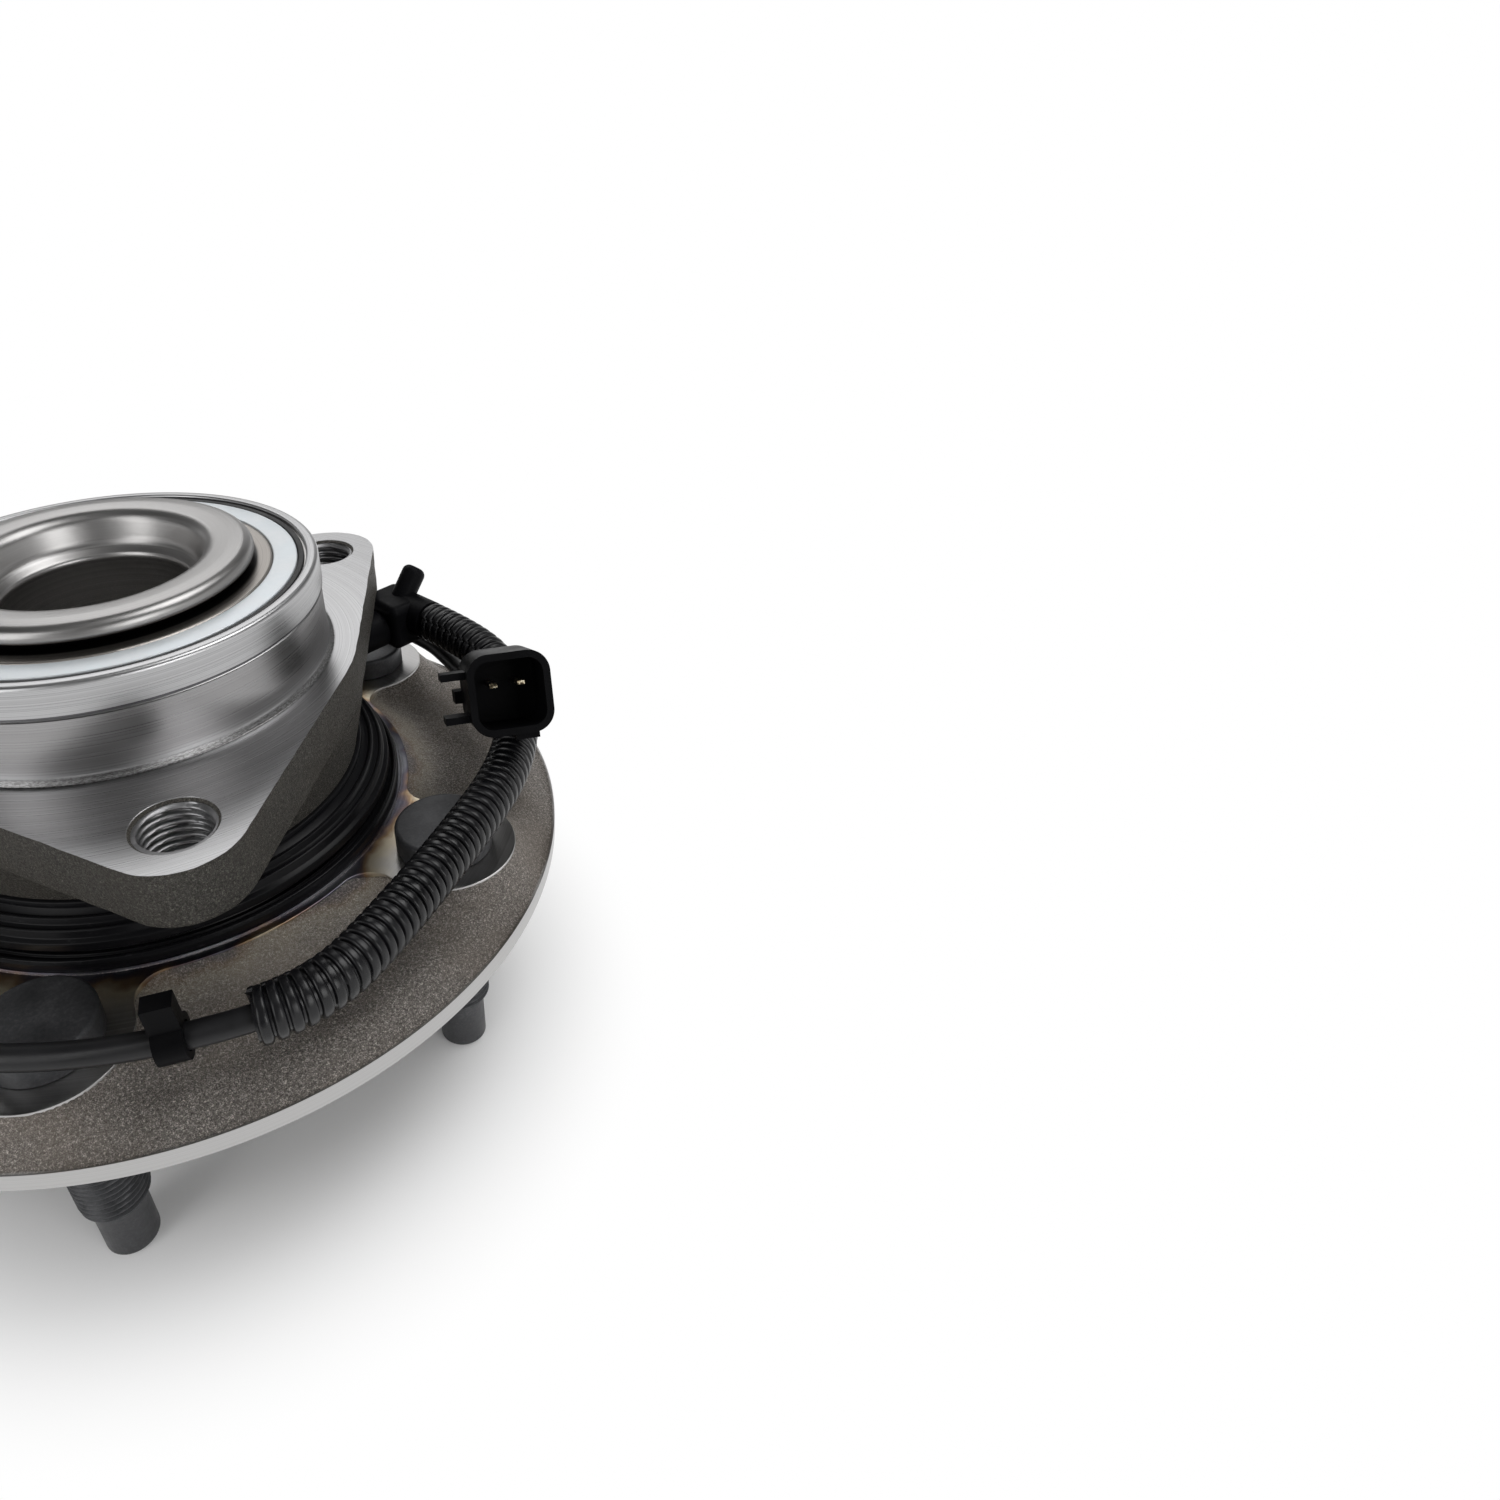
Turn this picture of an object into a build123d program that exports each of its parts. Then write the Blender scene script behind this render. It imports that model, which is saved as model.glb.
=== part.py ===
from build123d import *
import os
from math import cos, radians, sin, tan

os.makedirs("parts", exist_ok=True)

# Front wheel hub bearing unit, in millimetres. Z is the hub axis and points inboard (to the
# knuckle). z = 0 is the plane of the stud tips, on which the unit stands.

# Heights along the axis
stud_reach = 48.2            # stud beyond the wheel face
outer_ring_height = 20.3     # outer ring above the wheel face
outer_ring_length = 46.5
pilot_height = 19.6          # knuckle pilot above the knuckle face
knuckle_flange_thickness = 12.0
seal_setback = 0.5           # inboard seal face below the end of the outer ring
outboard_overhang = 5.0      # outer ring beyond the outboard inner ring
inner_ring_length = (outer_ring_length - seal_setback - outboard_overhang) / 2
wheel_face = stud_reach
ring_bottom = wheel_face + outer_ring_height
ring_top = ring_bottom + outer_ring_length
knuckle_face = ring_top - pilot_height
knuckle_flange_bottom = knuckle_face - knuckle_flange_thickness
inner_top = ring_top - seal_setback
row_middle = inner_top - inner_ring_length
hub_shoulder = row_middle - inner_ring_length

# Fits
fit = 0.02                   # between pressed or clamped pieces of one body
running = 0.06               # radial, between a roller and its raceways
free = 0.3                   # between pieces that move past each other

# Outer ring
pilot_radius = 44.2
pilot_land = 6.0             # ground part of the pilot
pilot_relief = 0.5           # turned part below the ground land
barrel_end_radius = 46.3
barrel_taper = 2.7           # growth of the barrel up to the knuckle flange
barrel_radius = barrel_end_radius + barrel_taper
barrel_land = 2.4            # cylindrical end under the outboard shield
seal_bore_radius = 41.75
lobes = 3
lobe_circle_radius = 62.35
lobe_radius = 12.5
web_circle_radius = barrel_radius + 0.7
knuckle_bolt_radius = 7.0
knuckle_bolt_chamfer = 0.5
first_lobe_angle = -90.0
forged_edge = 1.2

# Taper roller rows, mirrored about row_middle
roller_count = 21
roller_pitch_radius = 34.5
roller_tilt = 14.0
roller_taper = 2.0           # half angle of a roller
roller_radius = 4.25         # at mid length
roller_clearance = 9.5       # inner ring beyond the length of a roller
roller_length = inner_ring_length - roller_clearance
roller_setback = 6.5         # large end of a roller to the back face of its inner ring
row_inset = roller_setback + roller_length / 2
row_offset = inner_ring_length - row_inset
raceway_overrun = 0.8
cage_thickness = 1.2
cage_lift = 0.9              # cage above the rollers' centre line
cage_small_end = 1.4
cage_large_end = 1.7
window_clearance = 0.15

# Inner rings and spindle
spindle_radius = 25.5
small_rib_height = 0.8
large_rib_radius = 35.1
rib_gap = 0.1
edge_chamfer = 0.6

# Hub
bore_radius = 18.3
bore_edge_drop = 4.2         # bore edge below the end of the outer ring
bore_lead_radius = 20.9      # where the wide edge of the bore meets the funnel
bore_lead_rise = 1.8
funnel_radius = 22.3         # where the funnel meets the flat top of the head
head_radius = 31.8
head_height = 4.5            # formed head above the inner ring
head_side_rise = 1.6         # lower edge of the head above the inner ring
head_seat_radius = 29.8
seal_land_radius = 36.0
hub_flange_radius = 90.5
rim_height = 5.0
rim_slope_width = 6.0
web_height = 8.4
root_radius = barrel_end_radius + 10.7
root_clearance = 7.7         # outer ring above the raised middle of the hub flange
root_height = outer_ring_height - root_clearance
wheel_pilot_radius = 38.9
wheel_pilot_height = 14.0
wheel_pilot_lead = 2.0
wheel_pilot_wall = 5.4
face_groove_width = 4.0
face_groove_depth = 1.0
recess_draft = 2.5
recess_depth = 27.0

# Wheel studs
stud_count = 5
stud_circle_radius = 69.85
first_stud_angle = -43.3
stud_radius = 7.0
stud_knurl_radius = 7.35
stud_head_radius = 10.2
stud_head_height = 5.5
stud_head_edge = 0.8
stud_point_radius = 5.4      # unthreaded pilot point
stud_point_length = 12.0
stud_point_taper = 1.6
stud_end_chamfer = 1.0
pad_height = 12.1            # stud pad above the wheel face
pad_radius = 15.0
pad_draft = 5.0
knurl_length = 12.05
stud_seat = wheel_face + pad_height
stud_head_top = stud_seat + stud_head_height

# Tone ring on the outboard inner ring
tooth_count = 44
tone_width = 4.2
tone_outer_radius = 39.6
tone_tooth_depth = 2.2
tone_slot_width = 2.9
tone_setback = 0.4           # from the back face of the inner ring

# Inboard cassette seal
slinger_thickness = 0.8
slinger_gap = 0.5            # slinger rim to rubber
seal_case_thickness = 0.8
rubber_width = 0.7
seal_depth = 5.0

# Outboard seal, shield and deflector
outer_case_length = 4.0
seal_lip_height = 2.4
shield_wall = 1.0
shield_skirt_radius = barrel_end_radius + 6.7
shield_skirt_drop = 4.4
shield_ridge = 0.7
deflector_radius = shield_skirt_radius + 1.7
deflector_inner_radius = 47.0
deflector_height = 2.2

# Wheel speed sensor
sensor_angle = 19.0
sensor_height = hub_shoulder + tone_setback + tone_width / 2
sensor_air_gap = 0.8
sensor_tip_radius = 3.2
sensor_tip_length = 3.0
sensor_nose_radius = 4.8
sensor_head_start = 66.5
sensor_head_end = 78.5
sensor_head_width = 14.0
sensor_head_height = 11.7
sensor_head_lift = 1.2       # middle of the head above the sensor's axis
sensor_head_round = 2.0
oring_section = 0.8
oring_station = 45.2
cable_boss_drop = 4.7        # boss axis below the top of the head
cable_boss_inset = 3.4       # boss axis inside the end of the head
cable_boss_radius = 5.0
cable_boss_length = 3.7
post_radius = 3.0
post_length = 10.5
post_inset = 4.6
post_tilt = 50.0             # above the outward direction

# Connector, and how it lies
connector_width = 17.2
connector_height = 17.0
connector_length = 22.0
connector_round = 4.6
connector_wall = 1.5
socket_depth = 13.0
connector_waist = 2.4        # rear body inside the shell's outline
waist_length = 6.0
connector_front = (68.88, -45.82, 90.6)
connector_heading = 75.0     # rear of the connector, seen from above
connector_dip = 25.0
terminal_pitch = 5.8
terminal_width = 1.6
terminal_thickness = 0.8
terminal_length = 9.0
terminal_root = 3.0
terminal_lift = 1.6          # above the middle of the socket
rail_reach = 5.0             # rails for a body clip
rail_thickness = 1.5
rail_length = 6.0
rail_setback = 3.0
rail_upper = 4.5
rail_lower = -4.5
lock_width = 2.7
lock_reach = 1.6
lock_lift = -1.1
lock_length = 6.0
gland_radius = 4.2
gland_length = 3.0
coding_rib_width = 5.0
coding_rib_height = 1.6
coding_rib_offset = 3.0

# Harness
cable_radius = 2.3
conduit_radius = 5.0
conduit_bore_radius = 3.4
clip_width = 5.0
clip_wall = 1.3
clip_tab_height = 5.0
clip_tab_width = 3.6
clip_station = 12.0          # clip beyond the end of the conduit

# Middle line of the cable from the sensor, once round the hub over the stud heads, to the
# connector. The conduit covers it up to conduit_end.
cable_route = [
    (74.53, 14.12, 78.35), (79.3, 0.28, 78.35), (85.3, -13.5, 75.2), (82.8, -30.4, 71.4),
    (67.3, -46.1, 71.3), (50.0, -60.7, 71.3), (31.4, -73.6, 71.3), (12.8, -83.4, 71.2),
    (-7.0, -84.0, 70.0), (-29.0, -76.0, 68.6), (-51.0, -62.0, 68.4), (-69.0, -42.0, 68.4),
    (-79.0, -17.0, 68.4), (-79.5, 10.0, 68.4), (-70.0, 36.0, 68.4), (-52.0, 58.0, 68.4),
    (-28.0, 73.0, 68.4), (-1.0, 78.5, 68.4), (26.0, 74.5, 68.4), (50.0, 61.0, 68.4),
    (68.0, 42.0, 68.4), (76.5, 22.5, 68.4), (77.4, 9.5, 68.5), (76.4, -2.5, 70.3),
    (77.09, -15.2, 75.8), (74.05, -26.55, 81.29)]
conduit_corners = 8          # corners of the route inside the conduit, its start included
conduit_end = (2.0, -83.73, 70.55)

UP = (Align.CENTER, Align.CENTER, Align.MIN)


# Shapes ------------------------------------------------------------------------------------

def outline(*corners):
    """Closed face in a plane; a corner's third number is the radius that rounds it."""
    points = [Vector(corner[0], corner[1]) for corner in corners]
    ends = []
    edges = []
    for index, corner in enumerate(corners):
        here = points[index]
        back = (points[index - 1] - here).normalized()
        ahead = (points[(index + 1) % len(points)] - here).normalized()
        if len(corner) < 3:
            ends.append((here, here))
            continue
        half = radians(back.get_angle(ahead)) / 2
        centre = here + (back + ahead).normalized() * (corner[2] / sin(half))
        middle = centre + (here - centre).normalized() * corner[2]
        start = here + back * (corner[2] / tan(half))
        stop = here + ahead * (corner[2] / tan(half))
        edges.append(ThreePointArc(start, middle, stop))
        ends.append((start, stop))
    edges += [Line(ends[index - 1][1], ends[index][0]) for index in range(len(ends))]
    return make_face(edges)


def turned(*corners):
    """Solid of revolution about the hub axis from a profile of (radius, height) corners."""
    return revolve(Plane.XZ * outline(*corners), Axis.Z)


def around(count, piece, first=0.0):
    """Copies of a piece, evenly spaced about the hub axis."""
    return [Rot(0, 0, first + 360 * index / count) * piece for index in range(count)]


def row_point(along, across):
    """Point in a roller's own axes, as (radius, distance from row_middle)."""
    tilt = radians(roller_tilt)
    radius = roller_pitch_radius + along * sin(tilt) + across * cos(tilt)
    return radius, row_offset + along * cos(tilt) - across * sin(tilt)


def raceway(along, side):
    """Raceway point; side is 1 for the outer ring and -1 for an inner ring."""
    surface = roller_radius + along * tan(radians(roller_taper))
    return row_point(along, side * (surface + running))


def inboard(piece):
    return Pos(0, 0, row_middle) * piece


def outboard(piece):
    return Pos(0, 0, row_middle) * mirror(piece, Plane.XY)


def radial(angle, radius, height):
    """Frame on the unit whose Z axis points outward and whose X axis points down."""
    return Rot(0, 0, angle) * Pos(radius, 0, height) * Rot(0, 90, 0)


# Outer ring --------------------------------------------------------------------------------

def knuckle_flange():
    lobe = make_hull((Circle(web_circle_radius).edges()
                      + (Pos(lobe_circle_radius, 0) * Circle(lobe_radius)).edges()))
    plate = extrude(Pos(0, 0, knuckle_flange_bottom) * lobe, knuckle_flange_thickness)
    flange = Part() + around(lobes, plate, first_lobe_angle)
    flange -= Pos(0, 0, knuckle_face) * Cylinder(barrel_end_radius, outer_ring_length)
    return fillet(flange.edges().group_by(Axis.Z)[0], forged_edge)


def knuckle_bolt_hole():
    hole = Cylinder(knuckle_bolt_radius, knuckle_flange_thickness, align=UP)
    mouth = Pos(0, 0, knuckle_flange_thickness - knuckle_bolt_chamfer) * Cone(
        knuckle_bolt_radius, knuckle_bolt_radius + knuckle_bolt_chamfer,
        knuckle_bolt_chamfer, align=UP)
    return Pos(lobe_circle_radius, 0, knuckle_flange_bottom) * (hole + mouth)


def outer_ring():
    """Ring with the knuckle pilot, both outer raceways and the three-lobed flange."""
    reach = roller_length / 2 + raceway_overrun
    large, small = raceway(reach, 1), raceway(-reach, 1)
    relief_radius = pilot_radius - pilot_relief
    body = turned(
        (seal_bore_radius, ring_top, edge_chamfer),
        (pilot_radius, ring_top, 1.0),
        (pilot_radius, ring_top - pilot_land),
        (relief_radius, ring_top - pilot_land - pilot_relief),
        (relief_radius, knuckle_face, 1.5),
        (web_circle_radius - 1, knuckle_face),
        (web_circle_radius - 1, knuckle_flange_bottom),
        (barrel_radius, knuckle_flange_bottom - 1.5),
        (barrel_end_radius, ring_bottom + barrel_land),
        (barrel_end_radius, ring_bottom),
        (seal_bore_radius, ring_bottom, edge_chamfer),
        (seal_bore_radius, row_middle - large[1] - 0.3),
        (large[0], row_middle - large[1]),
        (small[0], row_middle - small[1]),
        (small[0], row_middle + small[1]),
        (large[0], row_middle + large[1]),
        (seal_bore_radius, row_middle + large[1] + 0.3))
    ring = body + knuckle_flange()
    for hole in around(lobes, knuckle_bolt_hole(), first_lobe_angle):
        ring -= hole
    sensor_hole = Cylinder(sensor_nose_radius + fit, barrel_radius, align=UP)
    return ring - radial(sensor_angle, seal_bore_radius - 3, sensor_height) * sensor_hole


# Bearing -----------------------------------------------------------------------------------

def inner_ring():
    """Inboard inner ring, with its abutting face at height 0."""
    reach = roller_length / 2 + rib_gap
    large, small = raceway(reach, -1), raceway(-reach, -1)
    small_rib = small[0] + small_rib_height
    return turned(
        (spindle_radius + fit, 0.0),
        (small_rib - edge_chamfer, 0.0),
        (small_rib, edge_chamfer),
        (small_rib, small[1] - 0.2),
        small,
        large,
        (large_rib_radius, large[1] - (large_rib_radius - large[0]) * tan(radians(roller_tilt))),
        (large_rib_radius, inner_ring_length, edge_chamfer),
        (spindle_radius + fit, inner_ring_length))


def roller():
    growth = roller_length / 2 * tan(radians(roller_taper))
    body = Cone(roller_radius - growth, roller_radius + growth, roller_length)
    return Pos(roller_pitch_radius, 0, row_offset) * Rot(0, roller_tilt, 0) * body


def rollers(place):
    return [place(piece) for piece in around(roller_count, roller())]


def cage():
    """Conical window cage of one row."""
    start = -roller_length / 2 - cage_small_end
    stop = roller_length / 2 + cage_large_end
    band = turned(
        row_point(start, cage_lift),
        row_point(stop, cage_lift),
        row_point(stop, cage_lift + cage_thickness),
        row_point(start, cage_lift + cage_thickness))
    window = Pos(roller_pitch_radius, 0, row_offset) * Rot(0, roller_tilt, 0) * Box(
        4 * roller_radius, 2 * (roller_radius + window_clearance),
        roller_length + 2 * window_clearance)
    for piece in around(roller_count, window):
        band -= piece
    return band


def tone_ring():
    """Toothed ring pressed on the rib of the outboard inner ring."""
    foot = hub_shoulder + tone_setback
    ring = turned(
        (large_rib_radius + fit, foot),
        (tone_outer_radius, foot),
        (tone_outer_radius, foot + tone_width),
        (large_rib_radius + fit, foot + tone_width))
    slot = Pos(tone_outer_radius, 0, foot + tone_width / 2) * Box(
        2 * tone_tooth_depth, tone_slot_width, 2 * tone_width)
    for piece in around(tooth_count, slot):
        ring -= piece
    return ring


# Hub ---------------------------------------------------------------------------------------

def hub():
    """Forged hub: wheel flange, wheel pilot, spindle and the head formed over the bearing."""
    pilot_end = wheel_face - wheel_pilot_height
    recess_radius = wheel_pilot_radius - wheel_pilot_wall
    recess_top = pilot_end + recess_depth
    body = turned(
        (bore_radius, ring_top - bore_edge_drop, 1.0),
        (bore_lead_radius, ring_top - bore_edge_drop + bore_lead_rise, 2.2),
        (funnel_radius, inner_top + head_height, 2.0),
        (head_radius, inner_top + head_height, 2.3),
        (head_radius, inner_top + head_side_rise, 1.0),
        (head_seat_radius, inner_top + fit),
        (spindle_radius, inner_top + fit),
        (spindle_radius, hub_shoulder - fit),
        (seal_land_radius, hub_shoulder - fit, edge_chamfer),
        (seal_land_radius, ring_bottom - 3.2, 2.5),
        (deflector_inner_radius, wheel_face + root_height, 1.0),
        (root_radius, wheel_face + root_height, 2.0),
        (root_radius + 5, wheel_face + web_height + 1.0, 6.0),
        (hub_flange_radius - rim_slope_width, wheel_face + web_height, 3.0),
        (hub_flange_radius, wheel_face + rim_height),
        (hub_flange_radius, wheel_face, edge_chamfer),
        (wheel_pilot_radius + face_groove_width, wheel_face),
        (wheel_pilot_radius + face_groove_width, wheel_face + face_groove_depth),
        (wheel_pilot_radius, wheel_face + face_groove_depth),
        (wheel_pilot_radius, pilot_end + wheel_pilot_lead),
        (wheel_pilot_radius - wheel_pilot_lead / 2, pilot_end),
        (recess_radius, pilot_end, 1.5),
        (recess_radius - recess_draft, recess_top, 6.0),
        (bore_radius, recess_top + 3.0, 1.5))
    pad = Pos(stud_circle_radius, 0, wheel_face + rim_height / 2) * Cone(
        pad_radius + pad_draft, pad_radius, pad_height - rim_height / 2, align=UP)
    for piece in around(stud_count, pad, first_stud_angle):
        body += piece & Cylinder(hub_flange_radius, 2 * stud_seat)
    hole = Pos(stud_circle_radius, 0, wheel_face) * Cylinder(
        stud_knurl_radius + fit, 2 * pad_height)
    for piece in around(stud_count, hole, first_stud_angle):
        body -= piece
    return body


def wheel_stud():
    """Press-in stud with its head on a pad, standing on its point."""
    return Pos(stud_circle_radius, 0, 0) * turned(
        (0.0, 0.0),
        (stud_point_radius - stud_end_chamfer, 0.0),
        (stud_point_radius, stud_end_chamfer),
        (stud_point_radius, stud_point_length),
        (stud_radius, stud_point_length + stud_point_taper),
        (stud_radius, stud_seat - knurl_length),
        (stud_knurl_radius, stud_seat - knurl_length + 0.5),
        (stud_knurl_radius, stud_seat + fit),
        (stud_head_radius, stud_seat + fit),
        (stud_head_radius, stud_head_top, stud_head_edge),
        (0.0, stud_head_top))


# Seals -------------------------------------------------------------------------------------

def inboard_slinger():
    """Zinc-coated L ring pressed on the rib of the inboard inner ring."""
    inner = large_rib_radius + fit
    outer = seal_bore_radius - rubber_width - slinger_gap
    return turned(
        (inner, inner_top - seal_depth),
        (inner + slinger_thickness, inner_top - seal_depth),
        (inner + slinger_thickness, inner_top - slinger_thickness, 0.4),
        (outer, inner_top - slinger_thickness),
        (outer, inner_top),
        (inner, inner_top, 0.3))


def inboard_seal_case():
    """Steel case pressed in the bore of the outer ring."""
    outer = seal_bore_radius - fit
    floor = inner_top - seal_depth
    throat = large_rib_radius + slinger_thickness + 2 * free + 0.6
    return turned(
        (outer, floor),
        (outer, inner_top - 0.6),
        (outer - seal_case_thickness / 2, inner_top - 0.6),
        (outer - seal_case_thickness / 2, floor + seal_case_thickness),
        (throat, floor + seal_case_thickness),
        (throat, floor))


def inboard_seal_rubber():
    """Rubber bonded to the case: a lip toward the slinger and the edge seen from inboard."""
    outer = seal_bore_radius - fit - seal_case_thickness / 2
    floor = inner_top - seal_depth + seal_case_thickness
    throat = large_rib_radius + slinger_thickness + free
    under = inner_top - slinger_thickness - free
    return turned(
        (outer, floor),
        (outer, inner_top - 0.1),
        (outer - rubber_width / 2, inner_top - 0.1),
        (outer - rubber_width / 2, floor + 0.8),
        (throat + 3.2, floor + 0.8),
        (throat + 2.0, under),
        (throat + 1.2, under),
        (throat + 1.6, floor + 0.8),
        (throat, floor + 0.8),
        (throat, floor))


def outboard_seal_case():
    """Steel case pressed in the outboard end of the outer ring."""
    outer = seal_bore_radius - fit
    throat = seal_land_radius + 2.2
    roof = ring_bottom + outer_case_length
    return turned(
        (outer, ring_bottom),
        (outer, roof),
        (throat, roof),
        (throat, roof - seal_case_thickness),
        (outer - seal_case_thickness, roof - seal_case_thickness),
        (outer - seal_case_thickness, ring_bottom))


def outboard_seal_lip():
    """Rubber lips that run on the hub beside the outboard row."""
    roof = ring_bottom + outer_case_length - seal_case_thickness
    outer = seal_bore_radius - fit - seal_case_thickness
    land = seal_land_radius + free
    return turned(
        (outer, roof),
        (outer, ring_bottom),
        (outer - 0.9, ring_bottom),
        (outer - 0.9, roof - 0.9),
        (land + 2.2, roof - 0.9),
        (land + 0.9, roof - seal_lip_height),
        (land, roof - seal_lip_height),
        (land + 1.0, roof))


def outboard_shield():
    """Black shield on the end of the outer ring, with its skirt over the deflector."""
    inner = barrel_end_radius + fit
    outer = inner + shield_wall
    edge = ring_bottom - shield_skirt_drop
    top = ring_bottom + barrel_land - fit
    return turned(
        (inner, top),
        (outer, top, 0.4),
        (outer, ring_bottom + 1.2),
        (outer + 1.6, ring_bottom - 0.2),
        (outer + 2.0, ring_bottom + shield_ridge),
        (outer + 2.8, ring_bottom + shield_ridge - 0.4),
        (shield_skirt_radius - 1.0, edge + 1.6),
        (shield_skirt_radius, edge + 1.4),
        (shield_skirt_radius, edge),
        (shield_skirt_radius - 1.2, edge),
        (outer + 0.8, ring_bottom - 1.0),
        (inner, ring_bottom - 1.0))


def deflector():
    """Ridged ring pressed on the hub flange round the shield."""
    foot = wheel_face + root_height + fit
    top = foot + deflector_height
    return turned(
        (deflector_inner_radius + 1.5, foot),
        (deflector_radius, foot),
        (deflector_radius, top, 0.4),
        (deflector_radius - 1.0, top),
        (deflector_radius - 1.2, foot + 1.0),
        (deflector_inner_radius + 3.6, foot + 1.0),
        (deflector_inner_radius + 3.2, top - 0.6),
        (deflector_inner_radius + 2.4, top - 0.6),
        (deflector_inner_radius + 1.5, foot + 0.8))


# Sensor ------------------------------------------------------------------------------------

def on_sensor(piece):
    """Place a piece whose X axis is the sensor's axis, pointing outward."""
    return Rot(0, 0, sensor_angle) * Pos(0, 0, sensor_height) * piece


def bar(radius, start, stop):
    """Round bar along X."""
    return Pos(start, 0, 0) * Rot(0, 90, 0) * Cylinder(radius, stop - start, align=UP)


def sensor_body():
    """Moulded speed sensor: tip, nose in the outer ring, head, cable boss and grip post."""
    tip = tone_outer_radius + sensor_air_gap
    shoulder = tip + sensor_tip_length
    middle = (sensor_head_start + sensor_head_end) / 2
    head = Pos(middle, 0, sensor_head_lift) * Box(
        sensor_head_end - sensor_head_start, sensor_head_width, sensor_head_height)
    head = fillet(head.edges(), sensor_head_round)
    head_top = sensor_head_lift + sensor_head_height / 2
    boss_height = head_top - cable_boss_drop
    boss_length = sensor_head_width / 2 + cable_boss_length
    boss = Pos(sensor_head_end - cable_boss_inset, 0, boss_height) * Rot(90, 0, 0) * Cylinder(
        cable_boss_radius, boss_length, align=UP)
    post = Cylinder(post_radius, post_length, align=UP)
    post = fillet(post.edges().sort_by(Axis.Z)[-1], post_radius * 0.6)
    post = Pos(sensor_head_end - post_inset, 0, head_top - post_radius) * Rot(
        0, 90 - post_tilt, 0) * post
    groove = bar(sensor_nose_radius + 1, oring_station - oring_section - fit,
                 oring_station + oring_section + fit)
    groove -= bar(sensor_nose_radius - 2 * oring_section - fit, shoulder, middle)
    body = bar(sensor_tip_radius, tip, middle) + bar(sensor_nose_radius, shoulder, middle)
    return on_sensor(body - groove + head + boss + post)


def sensor_oring():
    ring = Torus(sensor_nose_radius - oring_section, oring_section)
    return on_sensor(Pos(oring_station, 0, 0) * Rot(0, 90, 0) * ring)


# Connector ---------------------------------------------------------------------------------

def on_connector(piece):
    """Place a piece whose Z axis comes out of the socket and whose Y axis is up."""
    lie = Rot(0, 0, connector_heading - 90) * Rot(90 - connector_dip, 0, 0)
    return Pos(*connector_front) * lie * piece


def block(width, height, corner, near, far):
    """Rounded rectangular block between two depths behind the socket's mouth."""
    face = Pos(0, 0, -far) * RectangleRounded(width, height, corner)
    return extrude(face, far - near)


def terminal(margin=0.0):
    """Blade in the socket; margin gives the slot that holds it."""
    deep = socket_depth + terminal_root
    blade = Box(terminal_width + 2 * margin, terminal_thickness + 2 * margin,
                terminal_length + terminal_root + margin, align=UP)
    return Pos(0, terminal_lift, -deep - margin) * blade


def lock(margin=0.0):
    """Secondary lock in the left wall of the shell."""
    seat = connector_wall + connector_waist
    wedge = Box(lock_reach + seat + margin, lock_width + 2 * margin, lock_length + 2 * margin)
    place = Pos(-connector_width / 2 + seat / 2 - lock_reach / 2 + margin / 2, lock_lift,
                -socket_depth - lock_length / 2 - connector_wall)
    return place * wedge


def connector_shell():
    """Shell of the two-way plug: socket, rear body, clip rails and coding rib."""
    waist_start = connector_length - waist_length
    shell = block(connector_width, connector_height, connector_round, 0, waist_start)
    shell += block(connector_width - 2 * connector_waist, connector_height - 2 * connector_waist,
                   connector_round - connector_waist, waist_start - 1, connector_length)
    shell -= block(connector_width - 2 * connector_wall, connector_height - 2 * connector_wall,
                   connector_round - connector_wall, -1, socket_depth)
    for height in (rail_upper, rail_lower):
        rail = Box(rail_reach + connector_wall, rail_thickness, rail_length)
        shell += Pos(-(connector_width + rail_reach - connector_wall) / 2, height,
                     -rail_setback - rail_length / 2) * rail
    rib = Box(coding_rib_width, coding_rib_height + connector_wall, rail_length)
    shell += Pos(coding_rib_offset, -(connector_height + coding_rib_height - connector_wall) / 2,
                 -rail_setback - rail_length / 2) * rib
    for side in (-1, 1):
        shell -= Pos(side * terminal_pitch / 2, 0, 0) * terminal(fit)
    return on_connector(shell - lock(fit))


def connector_terminals():
    return [on_connector(Pos(side * terminal_pitch / 2, 0, 0) * terminal()) for side in (-1, 1)]


def connector_gland():
    """Rubber gland between the cable and the rear of the shell."""
    gland = Cylinder(gland_radius, gland_length, align=UP)
    gland -= Cylinder(cable_radius + fit, 3 * gland_length)
    return on_connector(Pos(0, 0, -connector_length - gland_length) * gland)


# Harness -----------------------------------------------------------------------------------

def corner_radii(points):
    """Arc radius at each inner corner of a route, as large as its two runs allow."""
    places = [Vector(point) for point in points]
    radii = []
    for before, here, after in zip(places, places[1:], places[2:]):
        turn = radians((here - before).get_angle(after - here))
        run = min((here - before).length, (after - here).length)
        radii.append(0.45 * run / tan(turn / 2))
    return radii


def tube(path, radius):
    return sweep(Plane(origin=path @ 0, z_dir=path % 0) * Circle(radius), path=path)


cable_radii = corner_radii(cable_route)
cable_path = FilletPolyline(*cable_route, radius=cable_radii)
conduit_path = FilletPolyline(*cable_route[:conduit_corners], conduit_end,
                              radius=cable_radii[:conduit_corners - 1])


def cable():
    return tube(cable_path, cable_radius)


def conduit():
    return tube(conduit_path, conduit_radius) - tube(conduit_path, conduit_bore_radius)


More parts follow.
